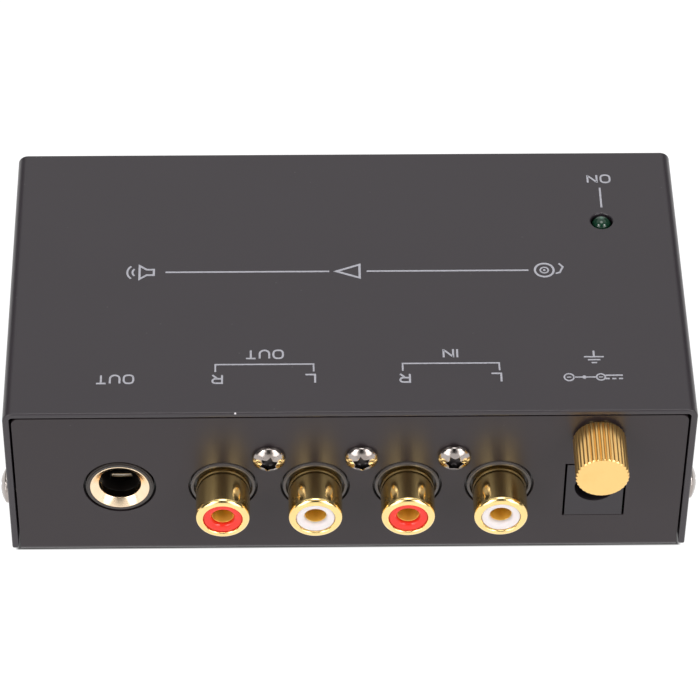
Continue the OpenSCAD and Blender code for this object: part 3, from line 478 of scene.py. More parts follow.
@dataclass(frozen=True)
class Moulding(Finish):
    """Moulded plastic: faint flow clouds and a fine eroded texture, with painted shade that darkens it
    deeper behind the panel.
    """

    flow: float = 0.06
    grain_size: float = 0.12
    grain_depth: float = 0.003
    coat: float = 0.0
    under: float = 0.0
    # Painted shade: deeper behind the panel than the next field's distance, the colour is multiplied by
    # inside.
    inside: float = 1.0
    painted_shade_from: float = 0.6

    def shade(self, graph: Graph, point: Wire) -> Dict[str, Any]:
        """Shades the plastic: flow clouds, an eroded grain and any painted shade deep behind the panel.

        Args:
            graph: The material's graph.
            point: The point on the part, in millimetres.

        Returns:
            The shader's inputs.
        """
        flow = graph.noise(point, 3.4, 2)
        grain = graph.noise(point, self.grain_size, 2)
        color = graph.mix(flow, toned(self.color, 1 - self.flow), toned(self.color, 1 + 1.2 * self.flow))
        # Painted shade: the colour darkens deeper behind the panel, where a bore lies in shadow.
        if self.inside < 1:
            shade_start = PANEL_Y + self.painted_shade_from
            depth = graph.axes(point)[1].over(shade_start - 0.3, shade_start)
            color = graph.mix(depth, color, toned(self.color, self.inside))
        inputs = {
            "Base Color": color,
            "Roughness": self.roughness + (grain - 0.5) * 0.12 + (flow - 0.5) * 0.08,
            "Normal": graph.bump(grain, self.grain_depth),
            "Coat Weight": self.coat,
            "Coat Roughness": 0.08,
            "IOR": 1.49,
        }
        if self.under:
            inputs.update({
                "Subsurface Weight": self.under,
                "Subsurface Radius": (1.0, 0.4, 0.25),
                "Subsurface Scale": MM,
            })
        return inputs


@dataclass(frozen=True)
class Rubber(Finish):
    """Die-cut rubber: matte, pitted, a little dust on it."""

    dust: Color = (0.10, 0.095, 0.09)

    def shade(self, graph: Graph, point: Wire) -> Dict[str, Any]:
        """Shades the rubber: pits and a little dust.

        Args:
            graph: The material's graph.
            point: The point on the part, in millimetres.

        Returns:
            The shader's inputs.
        """
        pits = graph.noise(point, 0.25, 3, 0.7)
        dust = graph.noise(point, 2.2, 3)
        return {
            "Base Color": graph.mix(dust.over(0.5, 0.8) * 0.35, self.color, self.dust),
            "Roughness": self.roughness - pits * 0.12,
            "Normal": graph.bump(pits, 0.02),
        }


@dataclass(frozen=True)
class TintedEpoxy(Finish):
    """Tinted resin of an unlit lamp: a dark gloss with a painted lighter disc that stands for the lit
    reflector cup seen through it.
    """

    # Painted light: a lighter disc that stands for the lit cup seen through the resin.
    cup: Color = (0.10, 0.22, 0.16)
    cup_r: float = 0.62
    cup_shift: float = 0.35

    def shade(self, graph: Graph, point: Wire) -> Dict[str, Any]:
        """Shades the resin with the painted lighter disc of its cup.

        Args:
            graph: The material's graph.
            point: The point on the part, in millimetres.

        Returns:
            The shader's inputs.
        """
        x, y, _ = graph.axes(point)
        center = Box.of("power_lamp").mid
        away = ((x - center.x) ** 2 + (y - center.y - self.cup_shift) ** 2).math("SQRT")
        away = away + graph.noise(point, 0.5, 2) * 0.25
        cloud = graph.noise(point, 1.4, 2)
        resin = graph.mix(cloud, toned(self.color, 0.6), self.color)
        return {
            # Painted light: the cup's lighter disc mixed into the resin's colour.
            "Base Color": graph.mix(away.over(self.cup_r, 0.1) * 0.8, resin, self.cup),
            "Roughness": self.roughness + (cloud - 0.5) * 0.03,
            "IOR": 1.52,
            "Normal": graph.bump(graph.noise(point, 0.6, 1), 0.002),
        }


@dataclass(frozen=True)
class SolderMask(Finish):
    """Green solder mask over copper tracks, with the weave showing through between them."""

    track_pitch: float = 2.54
    track_w: float = 0.9
    track_edge: float = 0.08
    lot: Tuple[float, float, float] = (15.24, 7.62, 100.0)

    def shade(self, graph: Graph, point: Wire) -> Dict[str, Any]:
        """Shades the mask over its tracks and weave.

        Args:
            graph: The material's graph.
            point: The point on the part, in millimetres.

        Returns:
            The shader's inputs.
        """
        x, y, _ = graph.axes(point)
        cell = graph.vector("SNAP", point, self.lot)
        lot = graph.add("ShaderNodeTexWhiteNoise", {"noise_dimensions": "3D"}, {"Vector": cell}, "Value")
        half = self.track_w / 2
        along_x, along_y = (
            abs((away % self.track_pitch) - self.track_pitch / 2).over(half + self.track_edge, half)
            for away in (y, x)
        )
        across = lot.over(0.49, 0.51)
        track = (along_x * (1 - across) + along_y * across) * lot.over(0.14, 0.16)
        weave = (x * 9).math("SINE") * (y * 9).math("SINE") * 0.5 + 0.5
        color = graph.mix(weave * 0.25, self.color, toned(self.color, 0.7))
        return {
            "Base Color": graph.mix(track, color, toned(self.color, 1.7, 0.03)),
            "Roughness": self.roughness + graph.noise(point, 1.7, 2) * 0.1,
            "Normal": graph.bump(track * 0.9 + weave * 0.1, 0.03),
            "Coat Weight": 0.5,
            "Coat Roughness": 0.15,
        }


@dataclass(frozen=True)
class Ink(Finish):
    """Screen-printed ink: a thin film with slightly uneven cover."""

    def shade(self, graph: Graph, point: Wire) -> Dict[str, Any]:
        """Shades the ink film.

        Args:
            graph: The material's graph.
            point: The point on the part, in millimetres.

        Returns:
            The shader's inputs.
        """
        cover = graph.noise(point, 0.35, 3, 0.6)
        return {
            "Base Color": graph.mix(cover.over(0.3, 0.55), toned(self.color, 0.8), self.color),
            "Roughness": self.roughness + (cover - 0.5) * 0.1,
            "Normal": graph.bump(cover, 0.004),
        }


@dataclass(frozen=True)
class Shop:
    """Every finish of the preamp, by what it is on."""

    cover: Finish = PowderCoat(
        "cover_paint", (0.0245, 0.0200, 0.0243), 0.33, chip=(-17.2, -24.3, COVER_TOP - 0.15)
    )
    tray: Finish = PowderCoat("tray_paint", (0.0195, 0.0142, 0.0165), 0.34, ior=1.42)
    nickel: Finish = Plating(
        "nickel_screw", (0.39, 0.35, 0.33), 0.15, (0.24, 0.18, 0.14), 0.25, mark_depth=0.012
    )
    # A near-black copy of the screw nickel for the recesses: painted shade.
    recess: Finish = Plating("nickel_screw", (0.05, 0.045, 0.045), 0.35, (0.03, 0.02, 0.02), 0.2)
    rubber: Finish = Rubber("foot_rubber", (0.018, 0.018, 0.019), 0.82)
    socket_grey: Finish = Moulding("socket_plastic", (0.070, 0.062, 0.060), 0.30)
    gold: Finish = Plating("gold_plate", (0.98, 0.73, 0.31), 0.15, (0.88, 0.56, 0.20), 0.14)
    contact_gold: Finish = Plating("gold_plate", (1.0, 0.74, 0.20), 0.48, (0.90, 0.55, 0.12), 0.2)
    red: Finish = Moulding("red_plastic", (0.70, 0.020, 0.008), 0.17, 0.05, under=0.10)
    white: Finish = Moulding("white_plastic", (0.66, 0.615, 0.62), 0.20, 0.03, under=0.10)
    # Their inside share darkens them deep in the inlet's bore and round the jack's nose: painted shade.
    black: Finish = Moulding("jack_plastic", (0.013, 0.0095, 0.013), 0.36, inside=0.3)
    nose_grey: Finish = Moulding("jack_plastic", (0.030, 0.024, 0.021), 0.38, inside=0.12)
    spring: Finish = Plating("spring_metal", (0.80, 0.76, 0.68), 0.24, (0.45, 0.33, 0.22), 0.15)
    # A paler, glossier copy of the spring metal for the sleeve leaf: its paler colour is a painted
    # highlight for its glint.
    leaf: Finish = Plating("spring_metal", (0.92, 0.86, 0.76), 0.16, (0.6, 0.5, 0.38), 0.1)
    tin: Finish = Plating("tinned_lead", (0.82, 0.82, 0.82), 0.30, (0.5, 0.5, 0.5), 0.2)
    epoxy: Finish = TintedEpoxy("lamp_lens", (0.004, 0.034, 0.017), 0.06)
    nylon: Finish = Moulding("spacer_nylon", (0.66, 0.62, 0.55), 0.45, under=0.2)
    mask: Finish = SolderMask("board_green", (0.018, 0.085, 0.035), 0.32)
    zinc: Finish = Plating("post_steel", (0.62, 0.63, 0.65), 0.30, (0.42, 0.38, 0.30), 0.2)
    film: Finish = Moulding("insulation_film", (0.55, 0.44, 0.24), 0.40, grain_size=0.5)
    chip: Finish = Moulding("chip_plastic", (0.016, 0.016, 0.018), 0.52, grain_size=0.09, grain_depth=0.006)
    sleeve: Finish = Moulding("can_sleeve_blue", (0.012, 0.022, 0.075), 0.28, coat=0.4)
    sleeve_print: Finish = Moulding("can_sleeve_blue", (0.62, 0.64, 0.68), 0.35)
    can_top: Finish = Plating("tinned_lead", (0.70, 0.71, 0.73), 0.36, (0.5, 0.5, 0.5), 0.1)
    dipped: Finish = Moulding("film_red", (0.34, 0.022, 0.012), 0.22, coat=0.5)
    lacquer: Finish = Moulding("resistor_blue", (0.12, 0.32, 0.46), 0.30, coat=0.5)
    band_brown: Finish = Moulding("resistor_blue", (0.10, 0.035, 0.012), 0.32)
    band_red: Finish = Moulding("resistor_blue", (0.50, 0.02, 0.012), 0.32)
    band_gold: Finish = Moulding("resistor_blue", (0.42, 0.27, 0.07), 0.35)
    glassy_black: Finish = Moulding("diode_black", (0.013, 0.013, 0.014), 0.24, coat=0.3)
    band_silver: Finish = Moulding("diode_black", (0.55, 0.55, 0.56), 0.3)
    wire: Finish = Moulding("wire_green", (0.015, 0.17, 0.035), 0.38)
    ink: Finish = Ink("cover_paint", (0.35, 0.35, 0.39), 0.5)


SHOP = Shop()


# ---------- outlines and meshes ----------


def circle(radius: float, steps: int) -> List[Point2]:
    """Points round a circle."""
    return [(radius * cos(tau * i / steps), radius * sin(tau * i / steps)) for i in range(steps)]


def quarter(steps: int) -> List[Point2]:
    """Cosine and sine of even steps through a quarter turn, with both ends."""
    return [(cos(pi / 2 * i / steps), sin(pi / 2 * i / steps)) for i in range(steps + 1)]


def rounded(outline: Sequence[Point2], radii: Mapping[int, float], steps: int = 5) -> List[Point2]:
    """Rounds some corners of an outline.

    Args:
        outline: The outline's corners.
        radii: For each corner to round, by its number, the rounding's radius.
        steps: How many points a rounding has beyond its first.

    Returns:
        The outline with an arc in place of each of those corners.
    """
    made: List[Point2] = []
    for number, corner in enumerate(outline):
        radius = radii.get(number, 0.0)
        if not radius:
            made.append(corner)
            continue
        here = Vector(corner)
        back = (Vector(outline[number - 1]) - here).normalized()
        ahead = (Vector(outline[(number + 1) % len(outline)]) - here).normalized()
        half = back.angle(ahead) / 2
        center = here + (back + ahead).normalized() * (radius / sin(half))
        start, end = (here + way * (radius / (sin(half) / cos(half))) - center for way in (back, ahead))
        turn = atan2(start.x * end.y - start.y * end.x, start.dot(end))
        for step in range(steps + 1):
            c, s = cos(turn * step / steps), sin(turn * step / steps)
            made.append((center.x + start.x * c - start.y * s, center.y + start.x * s + start.y * c))
    return made


def offset_path(path: Sequence[Point2], distance: float, closed: bool) -> List[Point2]:
    """Moves a path sideways, with mitred corners.

    Args:
        path: The path's points.
        distance: How far it moves to its left.
        closed: Whether its last point joins its first.

    Returns:
        As many points as the path has.
    """
    sharpest = 0.35
    count = len(path)
    made: List[Point2] = []
    for i, point in enumerate(path):
        here = Vector(point)
        before = here - Vector(path[i - 1]) if closed or i > 0 else None
        after = Vector(path[(i + 1) % count]) - here if closed or i < count - 1 else None
        first, second = (before or after).normalized(), (after or before).normalized()
        normal = Vector((-first.y - second.y, first.x + second.x)).normalized()
        stretch = max(sharpest, normal.dot(Vector((-first.y, first.x))))
        made.append(tuple(here + normal * (distance / stretch)))
    return made


def settle(piece: bpy.types.Object, body: Body, finish: Finish, *nodes: str) -> None:
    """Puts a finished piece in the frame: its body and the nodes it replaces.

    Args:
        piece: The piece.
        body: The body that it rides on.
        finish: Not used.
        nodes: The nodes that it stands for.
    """
    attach(piece, body.value)
    if nodes:
        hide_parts(*nodes)
    log.info("%s: %d faces on %s", piece.name, len(piece.data.polygons), body.value)


def linked(name: str, mesh: bpy.types.Mesh) -> bpy.types.Object:
    """Makes an object of a mesh and links it to the scene.

    Args:
        name: The object's name.
        mesh: Its mesh.

    Returns:
        The object.
    """
    made = bpy.data.objects.new(name, mesh)
    bpy.context.scene.collection.objects.link(made)
    return made


def refined(
    node: str, finish: Finish, body: Body = Body.CHASSIS, edge: float = 0.1, steps: int = 2,
    clamp: bool = True,
) -> None:
    """Stands in for a node with its own shape, its edges rounded as a press or a mould leaves them.

    Args:
        node: The node.
        finish: The piece's finish.
        body: The body that it rides on.
        edge: The rounding of its edges, in millimetres.
        steps: Faces across a rounding.
        clamp: Whether the rounding shrinks where edges are short.
    """
    mesh = frame["nodes"][node].data.copy()
    mesh.materials.clear()
    mesh.materials.append(finish.material())
    shape = bmesh.new()
    shape.from_mesh(mesh)
    bmesh.ops.remove_doubles(shape, verts=shape.verts, dist=WELD)
    bmesh.ops.dissolve_limit(shape, angle_limit=radians(FLAT_ANGLE), verts=shape.verts, edges=shape.edges)
    for face in shape.faces:
        face.material_index = 0
        face.smooth = True
    shape.to_mesh(mesh)
    shape.free()
    made = linked(f"{node}_skin", mesh)
    bevel = made.modifiers.new("edges", "BEVEL")
    bevel.width = edge * MM
    bevel.segments = steps
    bevel.limit_method = "ANGLE"
    bevel.angle_limit = radians(EDGE_ANGLE)
    bevel.use_clamp_overlap = clamp
    made.modifiers.new("shading", "WEIGHTED_NORMAL").keep_sharp = True
    bpy.context.view_layer.update()
    final = bpy.data.meshes.new_from_object(made.evaluated_get(bpy.context.evaluated_depsgraph_get()))
    made.modifiers.clear()
    made.data = final
    bpy.data.meshes.remove(mesh)
    final.name = made.name
    settle(made, body, finish, node)


class Form:
    """A mesh in the making, in millimetres of the part's frame, with a material number on each face."""

    def __init__(self) -> None:
        """Starts without points or faces."""
        self.points: List[Vector] = []
        self.faces: List[Tuple[List[int], int]] = []

    def ring(self, place: Place, points: Iterable[Tuple[float, float, float]]) -> List[int]:
        """Adds a ring of points.

        Args:
            place: The local frame.
            points: The ring's points in it.

        Returns:
            The points' numbers in the form.
        """
        first = len(self.points)
        self.points.extend(place.at(*point) for point in points)
        return list(range(first, len(self.points)))

    def skin(self, rings: Sequence[List[int]], slots: Slots = 0, closed: bool = False) -> None:
        """Joins neighbouring rings; a ring of one point is a pole.

        Args:
            rings: The rings, in order.
            slots: The material number of each band between two rings, or of all.
            closed: Whether the last ring joins the first; otherwise both are capped, unless poles.
        """
        pairs = list(zip(rings, rings[1:])) + ([(rings[-1], rings[0])] if closed else [])
        bands = [slots] * len(pairs) if isinstance(slots, int) else slots
        for (low, high), slot in zip(pairs, bands):
            count = max(len(low), len(high))
            for i in range(count):
                j = (i + 1) % count
                corners = (low[i % len(low)], low[j % len(low)], high[j % len(high)], high[i % len(high)])
                self.faces.append((list(dict.fromkeys(corners)), slot))
        for end, slot in ((rings[0], bands[0]), (rings[-1], bands[-1])):
            if not closed and len(end) > 1:
                self.faces.append((end, slot))

    def lathe(
        self, place: Place, outline: Sequence[Point2], slots: Slots = 0, closed: bool = False,
        segments: int = 96,
    ) -> None:
        """Turns an outline round local z.

        Args:
            place: The local frame.
            outline: Points (radius, height); a radius of 0 is a pole.
            slots: The material number of each band, or of all.
            closed: Whether the outline's last point joins its first.
            segments: Points round a ring.
        """
        rings = [
            self.ring(place, [(x, y, height) for x, y in circle(radius, segments if radius > 0 else 1)])
            for radius, height in outline
        ]
        self.skin(rings, slots, closed)

    def polar(self, place: Place, shapes: Sequence[Shape], slots: Slots = 0, segments: int = 96) -> None:
        """Lofts rings whose radius and height depend on the angle.

        Args:
            place: The local frame.
            shapes: For each ring (radius, height), or a function from the angle to them.
            slots: The material number of each band, or of all.
            segments: Points round a ring.
        """
        turns = [tau * i / segments for i in range(segments)]
        rings = []
        for shape in shapes:
            spots = [(turn, *(shape(turn) if callable(shape) else shape)) for turn in turns]
            rings.append(self.ring(place, [(r * cos(turn), r * sin(turn), z) for turn, r, z in spots]))
        self.skin(rings, slots)

    def box(self, low: Vector, high: Vector, edge: float = 0.05) -> None:
        """Adds a block, its edges along Z rounded and its rims chamfered.

        Args:
            low: Its lowest corner.
            high: Its highest corner.
            edge: The rounding's radius.
        """
        size = high - low
        corners = [(0, 0), (size.x, 0), (size.x, size.y), (0, size.y)]
        outline = rounded(corners, {i: edge for i in range(4)}, 3)
        chamfer = edge * 0.8
        inner = offset_path(outline, chamfer, True)
        levels = [(inner, 0.0), (outline, chamfer), (outline, size.z - chamfer), (inner, size.z)]
        place = Place.upright(*low)
        self.skin([self.ring(place, [(x, y, z) for x, y in shape]) for shape, z in levels])

    def tail(self, x: float, y: float, z0: float, z1: float) -> None:
        """Adds a flat solder tail round an upright line from z0 to z1."""
        half = Vector((TAIL_W / 2, TAIL_T / 2, 0))
        self.box(Vector((x, y, z0)) - half, Vector((x, y, z1)) + half, FINE_EDGE)

    def ribbon(
        self, place: Place, path: Sequence[Point2], width: float, height: float, closed: bool = False
    ) -> None:
        """Adds a flat stroke of even width along a path on local z = 0.

        Args:
            place: The local frame.
            path: The stroke's middle line.
            width: The stroke's width.
            height: The stroke's thickness.
            closed: Whether the stroke's end joins its start.
        """
        sides = zip(offset_path(path, width / 2, closed), offset_path(path, -width / 2, closed))
        rings = [self.ring(place, [(*a, 0), (*b, 0), (*b, height), (*a, height)]) for a, b in sides]
        self.skin(rings, 0, closed)

    def sweep(self, path: Sequence[Vector], radius: float, sides: int, slot: int, edge: float) -> None:
        """Adds a round rod along a path.

        Args:
            path: The rod's middle line, in the part's frame.
            radius: Its radius.
            sides: Points round a ring.
            slot: The material number.
            edge: The rounding of its ends.
        """
        start = (path[1] - path[0]).normalized() * edge
        end = (path[-1] - path[-2]).normalized() * edge
        stations = [(path[0], radius - edge), (path[0] + start, radius)]
        stations += [(point, radius) for point in path[1:-1]]
        stations += [(path[-1] - end, radius), (path[-1], radius - edge)]
        side = Vector((1, 0, 0))
        rings = []
        for i, (point, reach) in enumerate(stations):
            ahead = stations[min(i + 1, len(stations) - 1)][0] - stations[max(i - 1, 0)][0]
            ahead.normalize()
            side = (side - ahead * side.dot(ahead)).normalized()
            across = Place(point, side, ahead.cross(side))
            rings.append(self.ring(across, [(*spot, 0) for spot in circle(reach, sides)]))
        self.skin(rings, slot)

    def piece(
        self, name: str, finishes: Sequence[Finish], *nodes: str, body: Body = Body.CHASSIS,
        sharp: float = 35.0,
    ) -> None:
        """Makes the object, links it and puts it in the frame.

        Args:
            name: The object's name.
            finishes: Its finishes, by material number.
            nodes: The nodes that it stands for.
            body: The body that it rides on.
            sharp: Edges steeper than this many degrees stay sharp.
        """
        mesh = bpy.data.meshes.new(name)
        shape = bmesh.new()
        points = [shape.verts.new(point * MM) for point in self.points]
        for corners, slot in self.faces:
            face = shape.faces.new([points[i] for i in corners])
            face.material_index = slot
            face.smooth = True
        bmesh.ops.recalc_face_normals(shape, faces=shape.faces)
        shape.to_mesh(mesh)
        shape.free()
        mesh.set_sharp_from_angle(angle=radians(sharp))
        for finish in finishes:
            mesh.materials.append(finish.material())
        settle(linked(name, mesh), body, finishes[0], *nodes)


# ---------- screws ----------


@dataclass(frozen=True)
class PanScrew:
    """Pan-head screw with a six-lobe recess and a rolled thread."""

    head_r: float
    head_h: float
    shank_r: float
    shank_l: float
    pitch: float = 0.5
    side_h: float = 0.55
    recess_r: float = 1.48
    lobe_depth: float = 0.46
    recess_depth: float = 1.05
    foot_edge: float = 0.12
    land: float = 0.07
    dome_shares: Tuple[float, ...] = (0.94, 0.86, 0.76, 0.68)
    thread_steps: int = 8
    sharp: float = 40.0

    def dome(self, radius: float) -> float:
        """Height of the domed top, a piece of a ball.

        Args:
            radius: The distance from the screw's axis.

        Returns:
            The height over the foot of the head.
        """
        rise = self.head_h - self.side_h
        ball = (self.head_r**2 + rise**2) / (2 * rise)
        return self.head_h - ball + sqrt(ball**2 - radius**2)

    def lobes(self, turn: float) -> float:
        """Radius of the recess's wall at an angle: six pointed lobes."""
        return self.recess_r - self.lobe_depth * abs(sin(3 * turn)) ** 0.75

    def build(self, form: Form, place: Place) -> None:
        """Adds the screw to a form.

        Args:
            form: The form.
            place: The local frame; the head stands on z = 0.
        """
        floor_z = self.head_h - self.recess_depth
        shapes: List[Shape] = [
            (self.shank_r * 0.5, 0.0),
            (self.head_r - self.foot_edge, 0.0),
            (self.head_r, self.foot_edge),
            (self.head_r, self.side_h * 0.8),
            (self.head_r - 0.03, self.side_h),
            *((self.head_r * share, self.dome(self.head_r * share)) for share in self.dome_shares),
            lambda t: (self.lobes(t) + self.land, self.dome(self.lobes(t) + self.land)),
            lambda t: (self.lobes(t), self.dome(self.lobes(t)) - 0.05),
            lambda t: (self.lobes(t) * 0.96, floor_z + 0.12),
            lambda t: (self.lobes(t) * 0.86, floor_z),
            (0.45 * self.recess_r, floor_z - 0.06),
        ]
        # The recess's walls and floor take the second finish, whose dark colour is painted shade.
        form.polar(place, shapes, [0] * (len(shapes) - 4) + [1] * 3)
        self.thread(form, place)

    def thread(self, form: Form, place: Place) -> None:
        """Adds the threaded shank, a helix that stays inside the shank's radius.

        Args:
            form: The form.
            place: The local frame of the head.
        """
        depth = 0.3 * self.pitch
        tip = 1.2 * self.pitch
        count = int(self.shank_l / self.pitch * self.thread_steps)

        def ring(level: float) -> Shape:
            """The thread's ring at a depth.

            Args:
                level: The depth below the head.

            Returns:
                The ring's shape: radius and height for each angle.
            """
            to_tip = (self.shank_l - level) / tip
            fade = depth * min(1.0, level / self.pitch, to_tip + 0.2)
            taper = min(1.0, to_tip * 0.25 + 0.75)

            def shape(turn: float) -> Point2:
                """Radius and height of the thread's flank at an angle."""
                flank = abs(2 * ((level / self.pitch + turn / tau) % 1.0) - 1)
                return (self.shank_r - fade * max(0.0, min(1.0, 1.4 * flank - 0.2))) * taper, -level

            return shape

        form.polar(place, [ring(self.shank_l * i / count) for i in range(count + 1)], segments=32)


# ---------- case ----------


@dataclass(frozen=True)
class Case:
    """Folded cover and tray, the four side screws and the stick-on feet."""

    sheet_edge: float = 0.14
    cover_edge: float = 0.28
    screw: PanScrew = PanScrew(2.7, 1.4, 1.45, 5.5)
    foot_edge: float = 0.25
    foot_dish: float = 0.12

    def build(self) -> None:
        """Builds and dresses the case."""
        refined("top_cover", SHOP.cover, edge=self.cover_edge, steps=5, clamp=False)
        refined("chassis_tray", SHOP.tray, edge=self.sheet_edge, steps=3)
        self.screws()
        self.feet()

    def screws(self) -> None:
        """Screws that hold the cover's sides to the tray's tabs."""
        form = Form()
        box = Box.of("cover_screws")
        side_x = Box.of("top_cover").hi.x
        for x, y in box.corners(self.screw.head_r):
            self.screw.build(form, Place.on_side(copysign(side_x, x), y, box.mid.z))
        form.piece("side_screws", [SHOP.nickel, SHOP.recess], "cover_screws", sharp=self.screw.sharp)

    def feet(self) -> None:
        """Round stick-on feet, slightly dished underneath."""
        box = Box.of("rubber_feet")
        radius = box.hi.x - mount("feet").x
        outline = rounded(
            [(0, self.foot_dish), (radius * 0.7, self.foot_dish), (radius * 0.78, 0), (radius, 0),
             (radius, box.hi.z), (0, box.hi.z)],
            {3: self.foot_edge, 4: self.foot_edge / 3},
        )
        form = Form()
        for x, y in box.corners(radius):
            form.lathe(Place.upright(x, y, 0), outline)
        form.piece("stick_on_feet", [SHOP.rubber], "rubber_feet")


# ---------- phono sockets ----------


@dataclass(frozen=True)
class PhonoSockets:
    """Four phono sockets: the moulded block, gold shells, coloured inserts, contacts and screws."""

    wall: float = 0.55
    neck_step: float = 0.25
    neck_end: float = 0.18
    lip_l: float = 1.1
    lip_bore_r: float = 2.95
    lip_round: float = 0.78
    lip_inner_round: float = 0.28
    tail_inset: float = 0.8
    fit: float = 0.03
    dish: float = 0.06
    mouth_round: float = 0.6
    shoulder_gap: float = 0.27
    insert_edge: float = 0.12
    contact_lead: float = 0.9
    contact_r: float = 1.62
    contact_wall: float = 0.35
    contact_floor: float = 0.6
    stem_r: float = 0.7
    screw: PanScrew = PanScrew(2.5, 1.75, 1.25, 7.5)
    screw_turn: float = 0.33

    def build(self) -> None:
        """Builds and dresses the block, the sockets and their screws."""
        refined("socket_block", SHOP.socket_grey, edge=0.05)
        for name in SOCKETS:
            center = mount(f"{name}_centre")
            place = Place.on_panel(center.x, PANEL_Y, center.z)
            self.shell(name, place)
            self.insert(name, place, SHOP.red if name.endswith("right") else SHOP.white)
            self.contact(name, place)
        self.screws()

    def shell(self, name: str, place: Place) -> None:
        """A gold-plated shell with a rolled lip and its solder tail.

        Args:
            name: The socket's name.
            place: Its axis on the panel.
        """
        box = Box.of(f"{name}_shell")
        radius, reach, back = box.radius, box.front, box.back
        inner, neck = radius - self.wall, radius - self.neck_step
        shape = rounded(
            [(inner, back), (neck, back), (neck, self.neck_end), (radius, self.neck_end), (radius, reach),
             (self.lip_bore_r, reach), (self.lip_bore_r, reach - self.lip_l), (inner, reach - self.lip_l)],
            {1: FINE_EDGE, 3: CRISP_EDGE, 4: self.lip_round, 5: self.lip_inner_round, 6: SOFT_EDGE},
            9,
        )
        form = Form()
        form.lathe(place, shape, closed=True, segments=128)
        tail_top = place.origin.z - (inner + neck) / 2
        form.tail(place.origin.x, box.hi.y - self.tail_inset, box.lo.z, tail_top)
        form.piece(f"{name}_gold_shell", [SHOP.gold], f"{name}_shell")

    def insert(self, name: str, place: Place, finish: Finish) -> None:
        """A coloured insert with a funnel that leads the plug's pin in.

        Args:
            name: The socket's name.
            place: Its axis on the panel.
            finish: Red or white.
        """
        box = Box.of(f"{name}_insert")
        body_r, face, back = box.radius, box.front, box.back
        disc_r, hole_r = self.lip_bore_r - self.fit, self.contact_r + self.fit
        seat_r = hole_r + self.contact_wall
        seat_end = Box.of(f"{name}_contact").front + self.contact_lead + self.fit
        shoulder = face - self.lip_l + self.shoulder_gap
        lead = self.mouth_round
        funnel = [(hole_r + lead * (1 - s), face - self.dish - lead * (1 - c)) for c, s in quarter(9)]
        outer = rounded(
            [(seat_r, back), (body_r, back), (body_r, shoulder), (disc_r, shoulder), (disc_r, face),
             funnel[0]],
            {1: CRISP_EDGE, 2: CRISP_EDGE, 4: self.insert_edge},
            4,
        )
        form = Form()
        form.lathe(place, [*outer[:-1], *funnel, (hole_r, seat_end), (seat_r, seat_end)], closed=True)
        form.piece(f"{name}_colour_ring", [finish], f"{name}_insert", sharp=50)

    def contact(self, name: str, place: Place) -> None:
        """The gold tube that grips the plug's pin, with its stem and tail.

        Args:
            name: The socket's name.
            place: Its axis on the panel.
        """
        box = Box.of(f"{name}_contact")
        inner, outer = self.contact_r, self.contact_r + self.contact_wall
        front = box.front + self.contact_lead
        tail_y = box.hi.y - TAIL_T / 2
        bottom = Box.of(f"{name}_insert").back - TAIL_T
        stem_end = PANEL_Y - tail_y
        floor_z = bottom + self.contact_floor
        shape = rounded(
            [(0, stem_end), (self.stem_r, stem_end), (self.stem_r, bottom), (outer, bottom), (outer, front),
             (inner, front), (inner, floor_z), (0, floor_z - self.contact_floor / 2)],
            {3: SOFT_EDGE, 4: CRISP_EDGE, 5: 0.04},
            3,
        )
        form = Form()
        form.lathe(place, shape, segments=64)
        form.tail(place.origin.x, tail_y, box.lo.z, place.origin.z + self.stem_r * 0.8)
        form.piece(f"{name}_pin_contact", [SHOP.contact_gold], f"{name}_contact")

    def screws(self) -> None:
        """The three screws between the sockets, each stopped at its own angle."""
        form = Form()
        box = Box.of("connector_screws")
        inset = self.screw.head_r
        first, last = box.lo.x + inset, box.hi.x - inset
        for i in range(len(SOCKETS) - 1):
            x = first + (last - first) * i / (len(SOCKETS) - 2)
            place = Place.on_panel(x, PANEL_Y, box.hi.z - inset)
            self.screw.build(form, place.turned(self.screw_turn * (i + 1)))
        finishes = [SHOP.nickel, SHOP.recess]
        form.piece("panel_screws", finishes, "connector_screws", sharp=self.screw.sharp)


# ---------- large jack ----------


